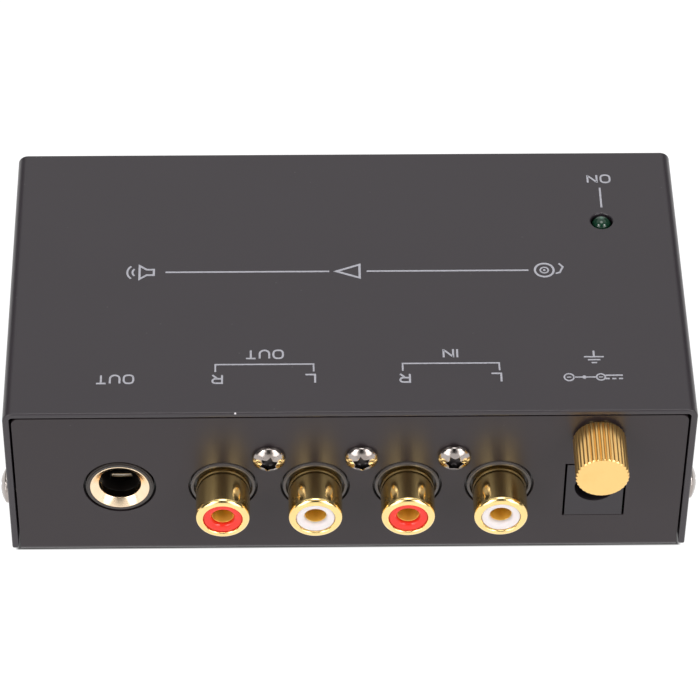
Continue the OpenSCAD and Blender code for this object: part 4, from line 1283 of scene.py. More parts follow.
@dataclass(frozen=True)
class LargeJack:
    """The large headphone-size jack: body, gold mouth and its contact leaves."""

    bore_r: float = 3.2
    flare_depth: float = 0.85
    rim: float = 0.14
    ring_pitch: float = 0.09
    bead_r: float = 0.4
    bead_crown: float = 0.07
    bead_end: float = 0.15
    leaf_t: float = 0.3

    def build(self) -> None:
        """Builds and dresses the jack."""
        refined("jack_body", SHOP.nose_grey, edge=0.07)
        self.mouth()
        refined("jack_tip_spring", SHOP.spring, Body.TIP_SPRING, 0.05)
        refined("jack_ring_spring", SHOP.spring, Body.RING_SPRING, 0.05)
        self.sleeve()
        refined("jack_terminals", SHOP.tin, edge=0.05)

    def mouth(self) -> None:
        """The turned mouth ring with its flare."""
        box = Box.of("jack_mouth_ring")
        radius, proud, back = box.radius, box.front, box.back
        shape = rounded(
            [(self.bore_r, back), (radius, back), (radius, proud), (radius - self.rim, proud),
             (self.bore_r, proud - self.flare_depth)],
            {1: SOFT_EDGE, 2: FINE_EDGE, 3: 0.05, 4: SOFT_EDGE},
            4,
        )
        finish = TurnedFace(
            "gold_plate", (0.98, 0.78, 0.54), 0.15, (0.8, 0.52, 0.32), 0.12, mark_depth=0.002,
            axis_x=box.mid.x, axis_z=box.mid.z, ring_pitch=self.ring_pitch,
        )
        form = Form()
        form.lathe(box.axis, shape, closed=True, segments=128)
        form.piece("jack_gold_mouth", [finish], "jack_mouth_ring")

    def sleeve(self) -> None:
        """The sleeve contact: a leaf under the bore that ends in a rolled bead, and its tail."""
        box = Box.of("jack_sleeve_contact")
        lo, hi, center, half, bead_r = box.lo, box.hi, box.mid, box.radius, self.bead_r
        steps = [i / 8 for i in range(-8, 9)]
        crown = [(bead_r - self.bead_crown * step**2, (half - self.bead_end) * step) for step in steps]
        bead = [(0, -half), (bead_r * 0.6, -half), *crown, (bead_r * 0.6, half), (0, half)]
        strip_top = hi.z - bead_r
        form = Form()
        form.lathe(Place.along_x(center.x, hi.y - bead_r, strip_top), bead, segments=48)
        form.box(Vector((lo.x, lo.y, strip_top - self.leaf_t)), Vector((hi.x, hi.y - bead_r, strip_top)))
        form.tail(center.x, center.y, lo.z, strip_top - self.leaf_t / 2)
        # The leaf's finish is paler than the springs' own: a painted highlight for its glint.
        form.piece("jack_sleeve_leaf", [SHOP.leaf], "jack_sleeve_contact")


# ---------- power inlet ----------


@dataclass(frozen=True)
class PowerInlet:
    """The barrel power inlet behind its cut-out."""

    pin_r: float = 1.05
    root_r: float = 1.25
    root_l: float = 3.2
    flange_r: float = 1.6
    flange_t: float = 0.8

    def build(self) -> None:
        """Builds and dresses the inlet."""
        refined("inlet_body", SHOP.black, edge=0.08)
        self.pin()
        refined("inlet_contact_spring", SHOP.spring, Body.INLET_SPRING, 0.05)
        refined("inlet_terminals", SHOP.tin, edge=0.05)

    def pin(self) -> None:
        """The centre pin with its ball tip, its riveted root and its tail."""
        box = Box.of("inlet_centre_pin")
        x, z = box.mid.x, box.hi.z - self.flange_r
        tip, end = box.front, box.back
        flange_end = end + self.flange_t
        bore_end = end + self.flange_t / 2 + self.root_l
        ball = [(self.pin_r * c, tip - self.pin_r * (1 - s)) for c, s in quarter(8)[:-1]]
        outline = rounded(
            [(0, end), (self.flange_r, end), (self.flange_r, flange_end), (self.root_r, flange_end),
             (self.root_r, bore_end), (self.pin_r, bore_end)],
            {1: 0.15, 2: SOFT_EDGE, 4: CRISP_EDGE},
            3,
        )
        form = Form()
        form.lathe(Place.on_panel(x, PANEL_Y, z), [*outline, *ball, (0, tip)], segments=48)
        form.tail(x, box.hi.y - self.flange_t / 2, box.lo.z, z)
        form.piece("inlet_pin", [SHOP.tin], "inlet_centre_pin")


# ---------- ground terminal ----------


@dataclass(frozen=True)
class GroundTerminal:
    """The knurled ground screw with its washer, bush, nut, lug and wire."""

    ridges: int = 32
    ridge_h: float = 0.24
    ridge_share: float = 0.92
    chamfer: float = 0.2
    steps_per_ridge: int = 12
    washer_gap: float = 0.05
    shank_inset: float = 0.2
    ring_pitch: float = 0.1
    back_edge: Tuple[Point2, ...] = ((0.0, 0.0), (0.1, 0.08))
    face_edge: Tuple[Point2, ...] = ((0.1, 0.1), (0.0, 0.015), (-0.06, 0.0))
    hollow: Tuple[Point2, ...] = ((0.85, 0.012), (0.6, 0.016), (0.3, 0.018))
    dimple_r: float = 0.16
    bush_root_r: float = 2.2
    bush_flange_r: float = 4.0
    bush_nose_r: float = 2.4
    bush_flange: Tuple[float, float] = (-1.9, -1.0)
    wire_bend_r: float = 1.6
    core_r: float = 0.4
    coat_r: float = 0.75
    strip: float = 0.6

    def build(self) -> None:
        """Builds and dresses the terminal."""
        self.knob()
        self.washer()
        self.bush()
        refined("ground_nut", SHOP.zinc, edge=0.22, steps=3)
        refined("ground_lug", SHOP.tin, edge=0.08)
        self.wire()

    def outline_r(self, turn: float, radius: float) -> float:
        """Radius of the knurled outline at an angle: round ridges side by side with narrow grooves.

        Args:
            turn: The angle.
            radius: The radius over the ridges.

        Returns:
            The radius at that angle.
        """
        valley = radius - self.ridge_h
        ridge_r = self.ridge_share * pi * valley / self.ridges
        pitch = tau / self.ridges
        away = (turn + pitch / 2) % pitch - pitch / 2
        center = radius - ridge_r
        inside = ridge_r**2 - (center * sin(away)) ** 2
        return max(valley, center * cos(away) + sqrt(inside)) if inside > 0 else valley

    def knob(self) -> None:
        """The knurled head and its threaded shank, turned from one bar."""
        box = Box.of("ground_knob")
        radius, face, center = box.radius, box.front, box.mid
        start = Box.of("ground_washer").front + self.washer_gap
        inner = radius - self.chamfer
        straight = face - start - 2 * self.chamfer

        def cut(limit: float, level: float) -> Shape:
            """The knurled ring at a height, turned down to a limit."""
            return lambda turn: (min(self.outline_r(turn, radius), limit), level)

        shapes: List[Shape] = [(SHANK_R * 0.8, start)]
        shapes += [cut(inner + out, start + rise) for out, rise in self.back_edge]
        shapes += [cut(radius, start + self.chamfer + straight * i / 3) for i in range(3)]
        shapes += [cut(radius, face - self.chamfer)]
        shapes += [cut(inner + out, face - drop) for out, drop in self.face_edge]
        shapes += [(inner * share, face - dish) for share, dish in self.hollow]
        shapes += [(self.dimple_r, face - 0.02), (self.dimple_r * 0.3, face - 0.045)]
        finish = TurnedFace(
            "gold_plate", (0.95, 0.62, 0.235), 0.30, (0.80, 0.46, 0.13), 0.12, mark_depth=0.0008,
            axis_x=center.x, axis_z=center.z, ring_pitch=self.ring_pitch,
        )
        form = Form()
        form.polar(box.axis, shapes, segments=self.ridges * self.steps_per_ridge)
        shank_y = PANEL_Y - start - self.shank_inset
        shank = PanScrew(radius, face, SHANK_R, box.hi.y - shank_y)
        shank.thread(form, Place.on_panel(center.x, shank_y, center.z))
        form.piece("knurled_ground_screw", [finish], "ground_knob", body=Body.KNOB, sharp=28)

    def washer(self) -> None:
        """The captive washer."""
        box = Box.of("ground_washer")
        ends = (SHANK_R + BORE_GAP, box.radius)
        corners = [(ends[0], box.back), (ends[1], box.back), (ends[1], box.front), (ends[0], box.front)]
        form = Form()
        form.lathe(box.axis, rounded(corners, {i: CRISP_EDGE for i in range(4)}, 3), closed=True)
        form.piece("captive_washer", [SHOP.gold], "ground_washer", body=Body.WASHER)

    def bush(self) -> None:
        """The flanged bush through the panel."""
        box = Box.of("ground_bush")
        bore, end, (back, front) = SHANK_R + BORE_GAP, box.back, self.bush_flange
        outline = rounded(
            [(bore, end), (self.bush_root_r, end), (self.bush_root_r, back), (self.bush_flange_r, back),
             (self.bush_flange_r, front), (self.bush_nose_r, front), (self.bush_nose_r, 0), (bore, 0)],
            {1: 0.12, 3: SOFT_EDGE, 4: SOFT_EDGE, 6: SOFT_EDGE, 7: 0.15},
            3,
        )
        form = Form()
        form.lathe(box.axis, outline, closed=True)
        form.piece("terminal_bush", [SHOP.gold], "ground_bush")

    def wire(self) -> None:
        """The insulated wire from the lug down into the board, its core bent through the lug's hole."""
        box = Box.of("ground_wire")
        x, down_y, radius = box.mid.x, box.hi.y - self.coat_r, self.wire_bend_r
        top = Box.of("ground_lug").mid.z
        bend = [Vector((x, down_y - radius * (1 - c), top - radius * (1 - s))) for c, s in quarter(8)]
        core = [Vector((x, down_y, box.lo.z)), *bend, Vector((x, box.lo.y, top))]
        coat = [Vector((x, down_y, z)) for z in (BOARD_TOP + self.strip, top - radius - self.strip)]
        form = Form()
        form.sweep(core, self.core_r, 20, 1, CRISP_EDGE)
        form.sweep(coat, self.coat_r, 28, 0, SOFT_EDGE)
        form.piece("green_ground_wire", [SHOP.wire, SHOP.tin], "ground_wire")


# ---------- lamp ----------


@dataclass(frozen=True)
class Lamp:
    """The power lamp: epoxy dome over its cup and post, on leads and a spacer."""

    radius: float = 1.5
    flange_r: float = 1.9
    flange_t: float = 0.8
    dome_h: float = 1.4
    cup_r: float = 0.55
    cup_x: float = -0.35
    cup_h: float = 0.9
    cup_edge: float = 0.2
    cup_wall: float = 0.1
    cup_depth: float = 0.35
    cup_floor_r: float = 0.2
    stem_r: float = 0.25
    post_x: float = 0.75
    post_drop: float = 0.1
    post_half: Tuple[float, float] = (0.2, 0.3)
    foot_h: float = 0.3
    rim_share: float = 1.15

    def build(self) -> None:
        """Builds and dresses the lamp."""
        box = Box.of("power_lamp")
        self.dome(box)
        self.inside(box)
        refined("lamp_leads", SHOP.tin, edge=0.06)
        refined("lamp_spacer", SHOP.nylon, edge=0.08)

    def dome(self, box: Box) -> None:
        """The cast dome and its flange.

        Args:
            box: The lamp's box.
        """
        foot, tip = box.lo.z, box.hi.z
        flange, center = foot + self.flange_t, tip - self.dome_h
        ball = [(self.radius * c, center + self.dome_h * s) for c, s in quarter(16)[1:-1]]
        outline = rounded(
            [(0, foot), (self.flange_r, foot), (self.flange_r, flange), (self.radius, flange),
             (self.radius, center)],
            {1: CRISP_EDGE, 2: SOFT_EDGE},
            3,
        )
        form = Form()
        form.lathe(Place.upright(box.mid.x, box.mid.y, 0), [*outline, *ball, (0, tip)], segments=64)
        form.piece("green_lamp_dome", [SHOP.epoxy], "power_lamp")

    def inside(self, box: Box) -> None:
        """The reflector cup and the post that stand in the resin.

        Args:
            box: The lamp's box.
        """
        x, y, _ = box.mid
        foot, rim = box.lo.z + self.foot_h, box.hi.z - self.radius * self.rim_share
        stem_end, edge, floor_z = rim - self.cup_h, rim - self.cup_edge, rim - self.cup_depth
        cup = [(0, foot), (self.stem_r, foot), (self.stem_r, stem_end), (self.cup_r, edge),
               (self.cup_r, rim), (self.cup_r - self.cup_wall, rim), (self.cup_floor_r, floor_z),
               (0, floor_z)]
        form = Form()
        form.lathe(Place.upright(x + self.cup_x, y, 0), cup, segments=32)
        half, post_x = Vector((*self.post_half, 0)), x + self.post_x
        form.box(Vector((post_x, y, foot)) - half, Vector((post_x, y, rim - self.post_drop)) + half)
        form.piece("lamp_cup_and_post", [SHOP.tin])


# ---------- board ----------


@dataclass(frozen=True)
class Board:
    """The circuit board with its posts, screws, insulating sheet and parts."""

    screw: PanScrew = PanScrew(2.2, 1.4, 1.2, 6.6, recess_r=1.2)
    can_gap: float = 2.8
    can_dip: float = 0.12
    stripe_turns: float = 0.12
    resistor_r: float = 1.15
    resistor_l: float = 6.2
    resistor_waist: float = 0.85
    resistor_spacing: float = 13.0
    band_w: float = 0.42
    band_shares: Tuple[float, ...] = (-0.34, -0.17, -0.02, 0.13, 0.34)
    band_slots: Tuple[int, ...] = (1, 2, 3, 1, 3)
    diode_r: float = 1.35
    diode_l: float = 5.2
    diode_edge: float = 0.2
    diode_band: Tuple[float, float] = (1.0, 1.7)

    def build(self) -> None:
        """Builds and dresses the board and what is on it."""
        refined("circuit_board", SHOP.mask, edge=0.05)
        refined("board_posts", SHOP.zinc, edge=0.12)
        self.screws()
        refined("insulating_sheet", SHOP.film, edge=0.04)
        refined("left_amplifier_chip", SHOP.chip, edge=0.12)
        refined("right_amplifier_chip", SHOP.chip, edge=0.12)
        refined("chip_legs", SHOP.tin, edge=0.04)
        self.cans("supply_capacitor", False)
        self.cans("coupling_capacitors", True)
        refined("film_capacitors", SHOP.dipped, edge=0.55, steps=4)
        refined("capacitor_leads", SHOP.tin, edge=0.06)
        self.resistors()
        refined("resistor_leads", SHOP.tin, edge=0.04)
        refined("voltage_regulator", SHOP.chip, edge=0.12)
        refined("regulator_legs", SHOP.tin, edge=0.06)
        self.diode()
        refined("diode_leads", SHOP.tin, edge=0.04)

    def screws(self) -> None:
        """The four screws of the board."""
        form = Form()
        for x, y in Box.of("board_screws").corners(self.screw.head_r):
            self.screw.build(form, Place.upright(x, y, BOARD_TOP))
        finishes = [SHOP.zinc, SHOP.recess]
        form.piece("board_fixing_screws", finishes, "board_screws", sharp=self.screw.sharp)

    def cans(self, node: str, pairs: bool) -> None:
        """Electrolytic capacitors: sleeved cans with a printed stripe and a rolled groove.

        Args:
            node: The node of the can or cans.
            pairs: Whether it has two pairs, at the ends of its box, or one can.
        """
        box = Box.of(node)
        radius, height = (box.hi.y - box.lo.y) / 2, box.hi.z - box.lo.z
        edge, sleeve_r, groove = radius * 0.12, radius * 0.78, height * 0.15
        top = height - self.can_dip
        outline = rounded(
            [(0, 0), (radius - edge, 0), (radius, edge), (radius, groove - edge),
             (radius - edge * 0.55, groove), (radius, groove + edge), (radius, height),
             (sleeve_r, height), (sleeve_r, top), (0, top)],
            {1: edge * 0.4, 4: edge * 0.5, 6: edge, 7: 0.05},
            4,
        )
        left, right, gap = box.lo.x + radius, box.hi.x - radius, 2 * radius + self.can_gap
        form = Form()
        for x in (left, left + gap, right - gap, right) if pairs else (box.mid.x,):
            place = Place.upright(x, box.mid.y, box.lo.z)
            first = len(form.faces)
            form.lathe(place, outline, segments=72)
            for i in range(first, len(form.faces)):
                corners, _ = form.faces[i]
                spot = sum((form.points[c] for c in corners), Vector()) / len(corners) - place.origin
                turn = atan2(spot.y, spot.x) / tau
                on_top = spot.z > height - 0.2 and hypot(spot.x, spot.y) < sleeve_r
                striped = abs(turn + 0.25) < self.stripe_turns / 2 and 2 * edge < spot.z < height - edge
                form.faces[i] = (corners, 2 if on_top else 1 if striped else 0)
        form.piece(f"{node}_sleeved", [SHOP.sleeve, SHOP.sleeve_print, SHOP.can_top], node)

    def girth(self, z: float) -> float:
        """A resistor's radius at a place along it: a dumbbell with round ends.

        Args:
            z: The place, from the middle.

        Returns:
            The radius.
        """
        radius, waist = self.resistor_r, self.resistor_r * self.resistor_waist
        phase = 2 * (self.resistor_l / 2 - abs(z)) / (radius * 1.6) - 1
        if phase >= 1:
            return waist
        if phase < 0:
            return radius * sqrt(max(0.0, 1 - phase**2))
        return waist + (radius - waist) * (0.5 + 0.5 * cos(pi * phase))

    def resistors(self) -> None:
        """Metal-film resistors with their colour bands."""
        box = Box.of("resistors")
        length, spacing, half = self.resistor_l, self.resistor_spacing, self.resistor_l / 2
        front, back = box.lo.y + self.resistor_r, box.hi.y - self.resistor_r
        places = [(i * spacing, front) for i in (-1, 0, 1)]
        places += [((i - 2) * spacing - length, back) for i in range(5)]
        bands = {share * length: slot for share, slot in zip(self.band_shares, self.band_slots)}
        edges = {z + side * self.band_w / 2 for z in bands for side in (-1, 1)}
        stations = sorted(edges | {half * (i / 20 - 1) for i in range(1, 40)})
        outline = [(0.0, -half), *((self.girth(z), z) for z in stations), (0.0, half)]
        slots = [
            next((slot for z, slot in bands.items() if abs((z0 + z1) / 2 - z) < self.band_w / 2), 0)
            for (_, z0), (_, z1) in zip(outline, outline[1:])
        ]
        form = Form()
        for x, y in places:
            form.lathe(Place.along_x(x, y, box.mid.z), outline, slots, segments=40)
        finishes = [SHOP.lacquer, SHOP.band_brown, SHOP.band_red, SHOP.band_gold]
        form.piece("banded_resistors", finishes, "resistors")

    def diode(self) -> None:
        """The protection diode with its cathode band."""
        radius, half = self.diode_r, self.diode_l / 2
        band = [(radius, z) for z in self.diode_band]
        ends = [(0, -half), (radius, -half), *band, (radius, half), (0, half)]
        outline = rounded(ends, {1: self.diode_edge, 4: self.diode_edge}, 4)
        form = Form()
        slots = [int(point == band[0]) for point in outline[:-1]]
        form.lathe(Place.along_x(*Box.of("polarity_diode").mid), outline, slots, segments=48)
        form.piece("banded_diode", [SHOP.glassy_black, SHOP.band_silver], "polarity_diode")


# ---------- markings ----------


@dataclass(frozen=True)
class Stroke:
    """A printed stroke: its middle line, its width and whether it closes."""

    path: Sequence[Point2]
    width: float = 0.3
    closed: bool = False

    def placed(self, x: float, y: float, wide: float = 1.0, high: float = 1.0) -> "Stroke":
        """The stroke scaled and put at a point of the cover, turned so that it reads from the rear."""
        return Stroke([(x - px * wide, y - py * high) for px, py in self.path], self.width, self.closed)


def ring(x: float, y: float, radius: float, width: float, steps: int = 40) -> Stroke:
    """A printed circle."""
    return Stroke(circle(radius, steps), width, True).placed(x, y)


def level(y: float, left: float, right: float, width: float) -> Stroke:
    """A printed level line."""
    return Stroke([(left, y), (right, y)], width)


def oval(flat: float = 0.72, steps: int = 28) -> List[Point2]:
    """A letter O: an oval with flattened sides."""
    points = circle(1, steps)
    return [tuple(0.5 + copysign(0.5 * abs(part) ** flat, part) for part in point) for point in points]


HALF_TURN = [(cos(pi * i / 8), sin(pi * i / 8)) for i in range(9)]
LETTERS: Dict[str, Tuple[Stroke, ...]] = {
    "I": (Stroke([(0, 0), (0, 1)]),),
    "L": (Stroke([(0, 1), (0, 0), (1, 0)]),),
    "N": (Stroke([(0, 0), (0, 1)]), Stroke([(1, 0), (1, 1)]), Stroke([(0.02, 0.93), (0.98, 0.07)])),
    "O": (Stroke(oval(), closed=True),),
    "R": (
        Stroke([(0, 0), (0, 1), *((0.68 + 0.32 * s, 0.73 + 0.27 * c) for c, s in HALF_TURN), (0.09, 0.46)]),
        Stroke([(0.55, 0.38), (1, 0)]),
    ),
    "T": (Stroke([(0, 1), (1, 1)]), Stroke([(0.5, 0.92), (0.5, 0)])),
    "U": (Stroke([(0, 1), *((0.5 - 0.5 * c, 0.42 - 0.42 * s) for c, s in HALF_TURN), (1, 1)]),),
}


@dataclass(frozen=True)
class Markings:
    """Plain screen-printed signs on the cover, read from behind the connectors.

    Places are x and y on the cover; y_shift then moves the whole print along Y.
    """

    ink: float = 0.03
    letter_h: float = 1.7
    letter_w: float = 1.45
    gap: float = 0.62
    y_shift: float = 4.125
    word_y: float = -15.45
    rail_y: float = -18.4
    rail_foot: float = -19.95
    letter_y: float = -20.6
    left_letter: float = 0.2
    right_letter: float = 0.3
    rail_w: float = 0.26
    groups: Tuple[Tuple[str, float, float], ...] = (("IN", 22.6, 8.0), ("OUT", -5.43, -20.24))
    lamp_word: Point2 = (42.0, 23.12)
    lamp_line: Tuple[Point2, Point2] = ((40.28, 20.2), (40.28, 15.66))
    jack_word: Point2 = (-35.33, -20.5)
    earth_at: Point2 = (37.0, -17.1)
    current_at: Point2 = (36.9, -21.5)
    path_y: float = 1.6
    dots: Tuple[Tuple[float, float, float], ...] = ((35.3, -21.5, 0.34), (30.5, 1.6, 0.2))

    def build(self) -> None:
        """Prints and dresses every sign."""
        form = Form()
        sheet = Place(Vector((0, self.y_shift, COVER_TOP)), Vector((-1, 0, 0)), Vector((0, -1, 0)))
        strokes = [*self.word("ON", *self.lamp_word), Stroke(self.lamp_line)]
        for sign, left, right in self.groups:
            rail = [(left, self.rail_y), (right, self.rail_y)]
            strokes.append(Stroke([(left, self.rail_foot), *rail, (right, self.rail_foot)], self.rail_w))
            strokes += self.word(sign, (left + right + self.width(sign)) / 2, self.word_y)
            strokes += self.word("L", left + self.left_letter, self.letter_y)
            strokes += self.word("R", right + self.letter_w / 2 + self.right_letter, self.letter_y)
        jack_x, jack_y = self.jack_word
        strokes += self.word("OUT", jack_x + self.width("OUT") / 2, jack_y)
        strokes += self.earth(*self.earth_at) + self.direct_current(*self.current_at)
        strokes += self.signal_path(self.path_y)
        for stroke in strokes:
            form.ribbon(sheet, [(-x, -y) for x, y in stroke.path], stroke.width, self.ink, stroke.closed)
        for x, y, radius in self.dots:
            dot = [(px - x, py - y) for px, py in circle(radius, 24)]
            form.skin([form.ring(sheet, [(px, py, z) for px, py in dot]) for z in (0.0, self.ink)])
        form.piece("top_print", [SHOP.ink], sharp=20)

    def width(self, text: str) -> float:
        """Length of a word, from its first stroke's middle to its last."""
        return sum(self.letter_w for letter in text if letter != "I") + (len(text) - 1) * self.gap

    def word(self, text: str, x: float, y: float) -> List[Stroke]:
        """A word's strokes.

        Args:
            text: The word's letters.
            x: Its left end, as it is read.
            y: Its baseline.

        Returns:
            The strokes.
        """
        made = []
        for letter in text:
            made += [stroke.placed(x, y, self.letter_w, self.letter_h) for stroke in LETTERS[letter]]
            x -= self.gap + (0.0 if letter == "I" else self.letter_w)
        return made

    def earth(self, x: float, y: float) -> List[Stroke]:
        """The earth sign's strokes.

        Args:
            x: Its middle line.
            y: Where its stem meets its bars.

        Returns:
            The strokes.
        """
        first, step, halves = 0.13, 0.62, (1.5, 0.95, 0.42)
        bars = [level(y - first - step * i, x + half, x - half, 0.26) for i, half in enumerate(halves)]
        return [Stroke([(x, y + 1.15), (x, y)]), *bars]

    def direct_current(self, x: float, y: float) -> List[Stroke]:
        """The strokes of the signs for direct current and for a positive centre.

        Args:
            x: Their middle.
            y: Their middle line.

        Returns:
            The strokes.
        """
        dashes = [level(y - 0.35, x + 4.2 - i, x + 3.58 - i, 0.28) for i in range(3)]
        lines = ((1.22, 0.58, 0.2), (0.13, -1.3, 0.24), (-1.94, -3.15, 0.24), (-3.58, -4.22, 0.2))
        return [
            level(y + 0.35, x + 4.2, x + 1.6, 0.28), *dashes,
            *(level(y, x + left, x + right, width) for left, right, width in lines),
            ring(x + 0.9, y, 0.649, 0.24), ring(x - 3.9, y, 0.72, 0.24),
        ]

    def signal_path(self, y: float, half: float = 1.45) -> List[Stroke]:
        """The strokes of a plain signal path: record, amplifier and loudspeaker.

        Args:
            y: Its middle line.
            half: Half the height of its signs.

        Returns:
            The strokes.
        """
        disc_x, tip, base, horn_x = 30.5, -1.7, 1.9, -31.5
        arm = [(2.3, 1.45), (2.9, 0.7), (2.4, -0.5), (1.75, -0.75)]
        horn = [(1.6, -0.6), (0.5, -0.6), (-0.6, -half), (-0.6, half), (0.5, 0.6), (1.6, 0.6)]
        turns = [radians(angle) for angle in range(-48, 49, 8)]
        waves = [
            [(horn_x - 0.7 - reach * cos(turn), y + reach * sin(turn)) for turn in turns]
            for reach in (1.0, 1.8)
        ]
        return [
            ring(disc_x, y, half, 0.34, 48), ring(disc_x, y, 0.62, 0.24),
            Stroke([(disc_x + px, y + py) for px, py in arm]),
            level(y, disc_x - half - 1.0, 3.0, 0.3), level(y, tip - 1.1, horn_x + 3.4, 0.3),
            Stroke([(tip, y), (base, y - half), (base, y + half)], 0.36, True),
            Stroke([(horn_x + px, y + py) for px, py in horn], 0.34, True),
            *(Stroke(wave) for wave in waves),
        ]


# ---------- studio ----------


@dataclass(frozen=True)
class Studio:
    """Camera at the photograph's angle, a plain pale floor and soft light.

    Angles are in degrees. A pair that ends in _x, _y or _z is the stretch over which a mask of the
    sky or floor fades, in the sky's unit directions, or in millimetres round the tray.
    """

    camera_at: Tuple[float, float] = (-10.41, -406.585)
    camera_over_cover: float = 402.18
    yaw: float = 1.526
    pitch: float = 45.488
    roll: float = -0.725
    lens: float = 191.5
    sensor: float = 36.0
    clip: Tuple[float, float] = (0.01, 50.0)
    floor_half: float = 3000.0
    floor_color: Color = (0.12, 0.12, 0.12)
    floor_glow: float = 0.97
    # Under the case the floor's glow turns to this colour: a painted shadow.
    shade_color: Color = (0.02, 0.02, 0.02)
    shade_x: Tuple[float, float] = (1.2, 0.4)
    shade_y: Tuple[float, float] = (-1.15, -1.5)
    sky_color: Color = (1.0, 0.99, 0.985)
    sky_front: float = 0.40
    sky_back: float = 0.92
    box_from: float = 24.0
    box_to: float = 62.0
    box_low: float = 4.0
    box_high: float = 56.0
    box_soft: float = 5.0
    box_glow: float = 3.0
    bulb_side: float = 54.0
    bulb_height: float = 43.0
    bulb_reach: float = 7.0
    bulb_edge: Tuple[float, float] = (-0.006, 0.004)
    bulb_glow: float = 9.0
    lid_glow: float = 4.0
    low_glow: float = 0.6
    side_shade: float = 0.85
    lens_shade: float = 0.93
    back_y: Tuple[float, float] = (-0.2, 0.3)
    side_x: Tuple[float, float] = (0.3, 0.5)
    side_z: Tuple[float, float] = (0.75, 0.5)
    lid_z: Tuple[float, float] = (0.955, 0.985)
    low_y: Tuple[float, float] = (-0.2, -0.5)
    low_z: Tuple[float, float] = (0.48, 0.36)
    lens_x: Tuple[float, float] = (0.21, 0.13)
    lens_y: Tuple[float, float] = (-0.35, -0.5)
    lens_z: Tuple[float, float] = (0.40, 0.50)

    def build(self) -> None:
        """Sets up the camera, the floor, the sky and the lamps."""
        self.camera()
        self.floor()
        self.world()

    def camera(self) -> None:
        """Makes the camera at the photograph's angle."""
        yaw, pitch, roll = (radians(angle) for angle in (self.yaw, self.pitch, self.roll))
        ahead = Vector((sin(yaw) * cos(pitch), cos(yaw) * cos(pitch), -sin(pitch)))
        level_way = Vector((cos(yaw), -sin(yaw), 0))
        down = ahead.cross(level_way)
        right = level_way * cos(roll) + down * sin(roll)
        below = down * cos(roll) - level_way * sin(roll)
        data = bpy.data.cameras.new("photo_camera")
        data.lens, data.sensor_width = self.lens, self.sensor
        data.clip_start, data.clip_end = self.clip
        made = bpy.data.objects.new("photo_camera", data)
        turn = Matrix((right, -below, -ahead)).transposed().to_4x4()
        spot = Vector((*self.camera_at, COVER_TOP + self.camera_over_cover)) * MM
        made.matrix_world = Matrix.Translation(spot) @ turn
        bpy.context.scene.collection.objects.link(made)
        bpy.context.scene.camera = made

    def floor(self) -> None:
        """Makes the pale floor, a light table whose glow gives way to a painted shadow where the case
        covers it.
        """
        material = bpy.data.materials.new("pale_floor")
        material.use_nodes = True
        graph = Graph(material.node_tree)
        point = graph.place()
        color = graph.mix(graph.noise(point, 2.0, 2), toned(self.floor_color, 0.99), self.floor_color)
        x, y, _ = graph.axes(point)
        tray = Box.of("chassis_tray")
        half = (tray.hi - tray.lo) / 2
        # Painted shadow: the floor's glow fades out under the tray's footprint.
        under = abs(x - tray.mid.x).over(*(half.x + out for out in self.shade_x))
        under = under * abs(y - tray.mid.y).over(*(half.y + out for out in self.shade_y))
        inputs = {
            "Base Color": color,
            "Roughness": 0.9,
            "Emission Color": graph.mix(under, (1.0, 1.0, 1.0), self.shade_color),
            "Emission Strength": self.floor_glow,
            "Specular IOR Level": 0.1,
        }
        shader = graph.add("ShaderNodeBsdfPrincipled", {}, inputs)
        graph.add("ShaderNodeOutputMaterial", {}, {"Surface": shader})
        mesh = bpy.data.meshes.new("studio_floor")
        reach = self.floor_half * MM
        corners = [(-reach, -reach, 0), (reach, -reach, 0), (reach, reach, 0), (-reach, reach, 0)]
        mesh.from_pydata(corners, [], [range(4)])
        mesh.materials.append(material)
        made = linked("studio_floor", mesh)

    def world(self) -> None:
        """Makes the sky: a pale room behind, two soft boxes in front, one lamp above and a dark lens."""
        world = bpy.data.worlds.new("soft_boxes")
        scene = bpy.context.scene
        scene.world = world
        world.use_nodes = True
        graph = Graph(world.node_tree)
        x, y, z = graph.axes(graph.add("ShaderNodeTexCoord", {}, {}, "Generated"))
        strength = self.sky_front + y.over(*self.back_y) * (self.sky_back - self.sky_front)
        strength = strength * (1 - abs(x).over(*self.side_x) * z.over(*self.side_z) * self.side_shade)
        strength = strength + z.over(*self.lid_z) * self.lid_glow
        side = abs(x).math("ARCTAN2", 0 - y)
        soft = self.box_soft
        boxes = side.over(radians(self.box_from), radians(self.box_from + soft))
        boxes = boxes * side.over(radians(self.box_to), radians(self.box_to - soft))
        boxes = boxes * z.over(sin(radians(self.box_low)), sin(radians(self.box_low + soft)))
        boxes = boxes * z.over(sin(radians(self.box_high)), sin(radians(self.box_high - soft)))
        strength = strength + boxes * self.box_glow
        strength = strength + z.over(*self.low_z) * y.over(*self.low_y) * self.low_glow
        rise, turn = radians(self.bulb_height), radians(self.bulb_side)
        bulb = (sin(turn) * cos(rise), -cos(turn) * cos(rise), sin(rise))
        mirrored = graph.add("ShaderNodeCombineXYZ", {}, {"X": abs(x), "Y": y, "Z": z})
        to_bulb = graph.vector("DOT_PRODUCT", mirrored, bulb, output="Value")
        reach = cos(radians(self.bulb_reach))
        strength = strength + to_bulb.over(*(reach + out for out in self.bulb_edge)) * self.bulb_glow
        behind_lens = abs(x).over(*self.lens_x) * y.over(*self.lens_y) * z.over(*self.lens_z)
        strength = strength * (1 - behind_lens * self.lens_shade)
        background = graph.add("ShaderNodeBackground", {}, {"Color": self.sky_color, "Strength": strength})
        graph.add("ShaderNodeOutputWorld", {}, {"Surface": background})
        scene.view_settings.view_transform = "Standard"
        scene.view_settings.look = "None"


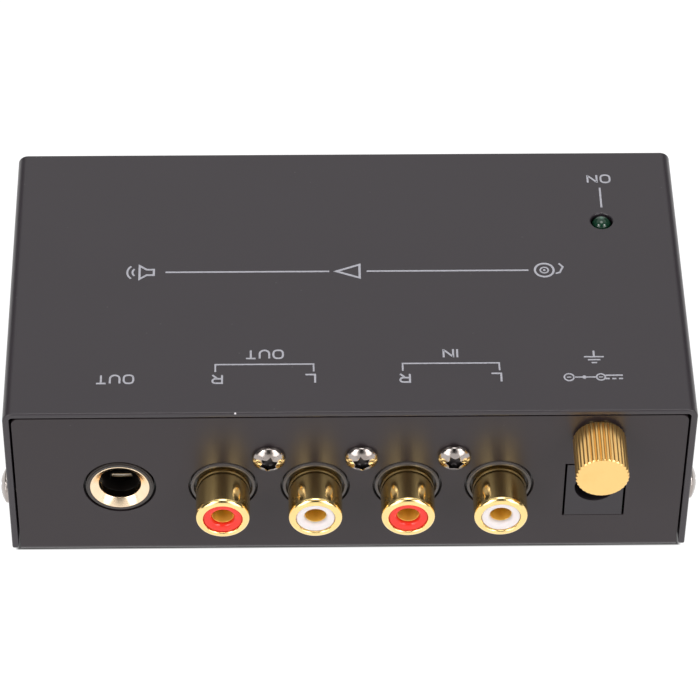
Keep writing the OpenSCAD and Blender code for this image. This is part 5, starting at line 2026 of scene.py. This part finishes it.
def main() -> None:
    """Builds the studio and every sub-assembly in order."""
    logging.basicConfig(level=logging.INFO, format="%(message)s")
    connectors = (PhonoSockets(), LargeJack(), PowerInlet(), GroundTerminal())
    for part in (Studio(), Case(), *connectors, Lamp(), Board(), Markings()):
        log.info("building %s", type(part).__name__)
        part.build()


if __name__ == "__main__":
    main()
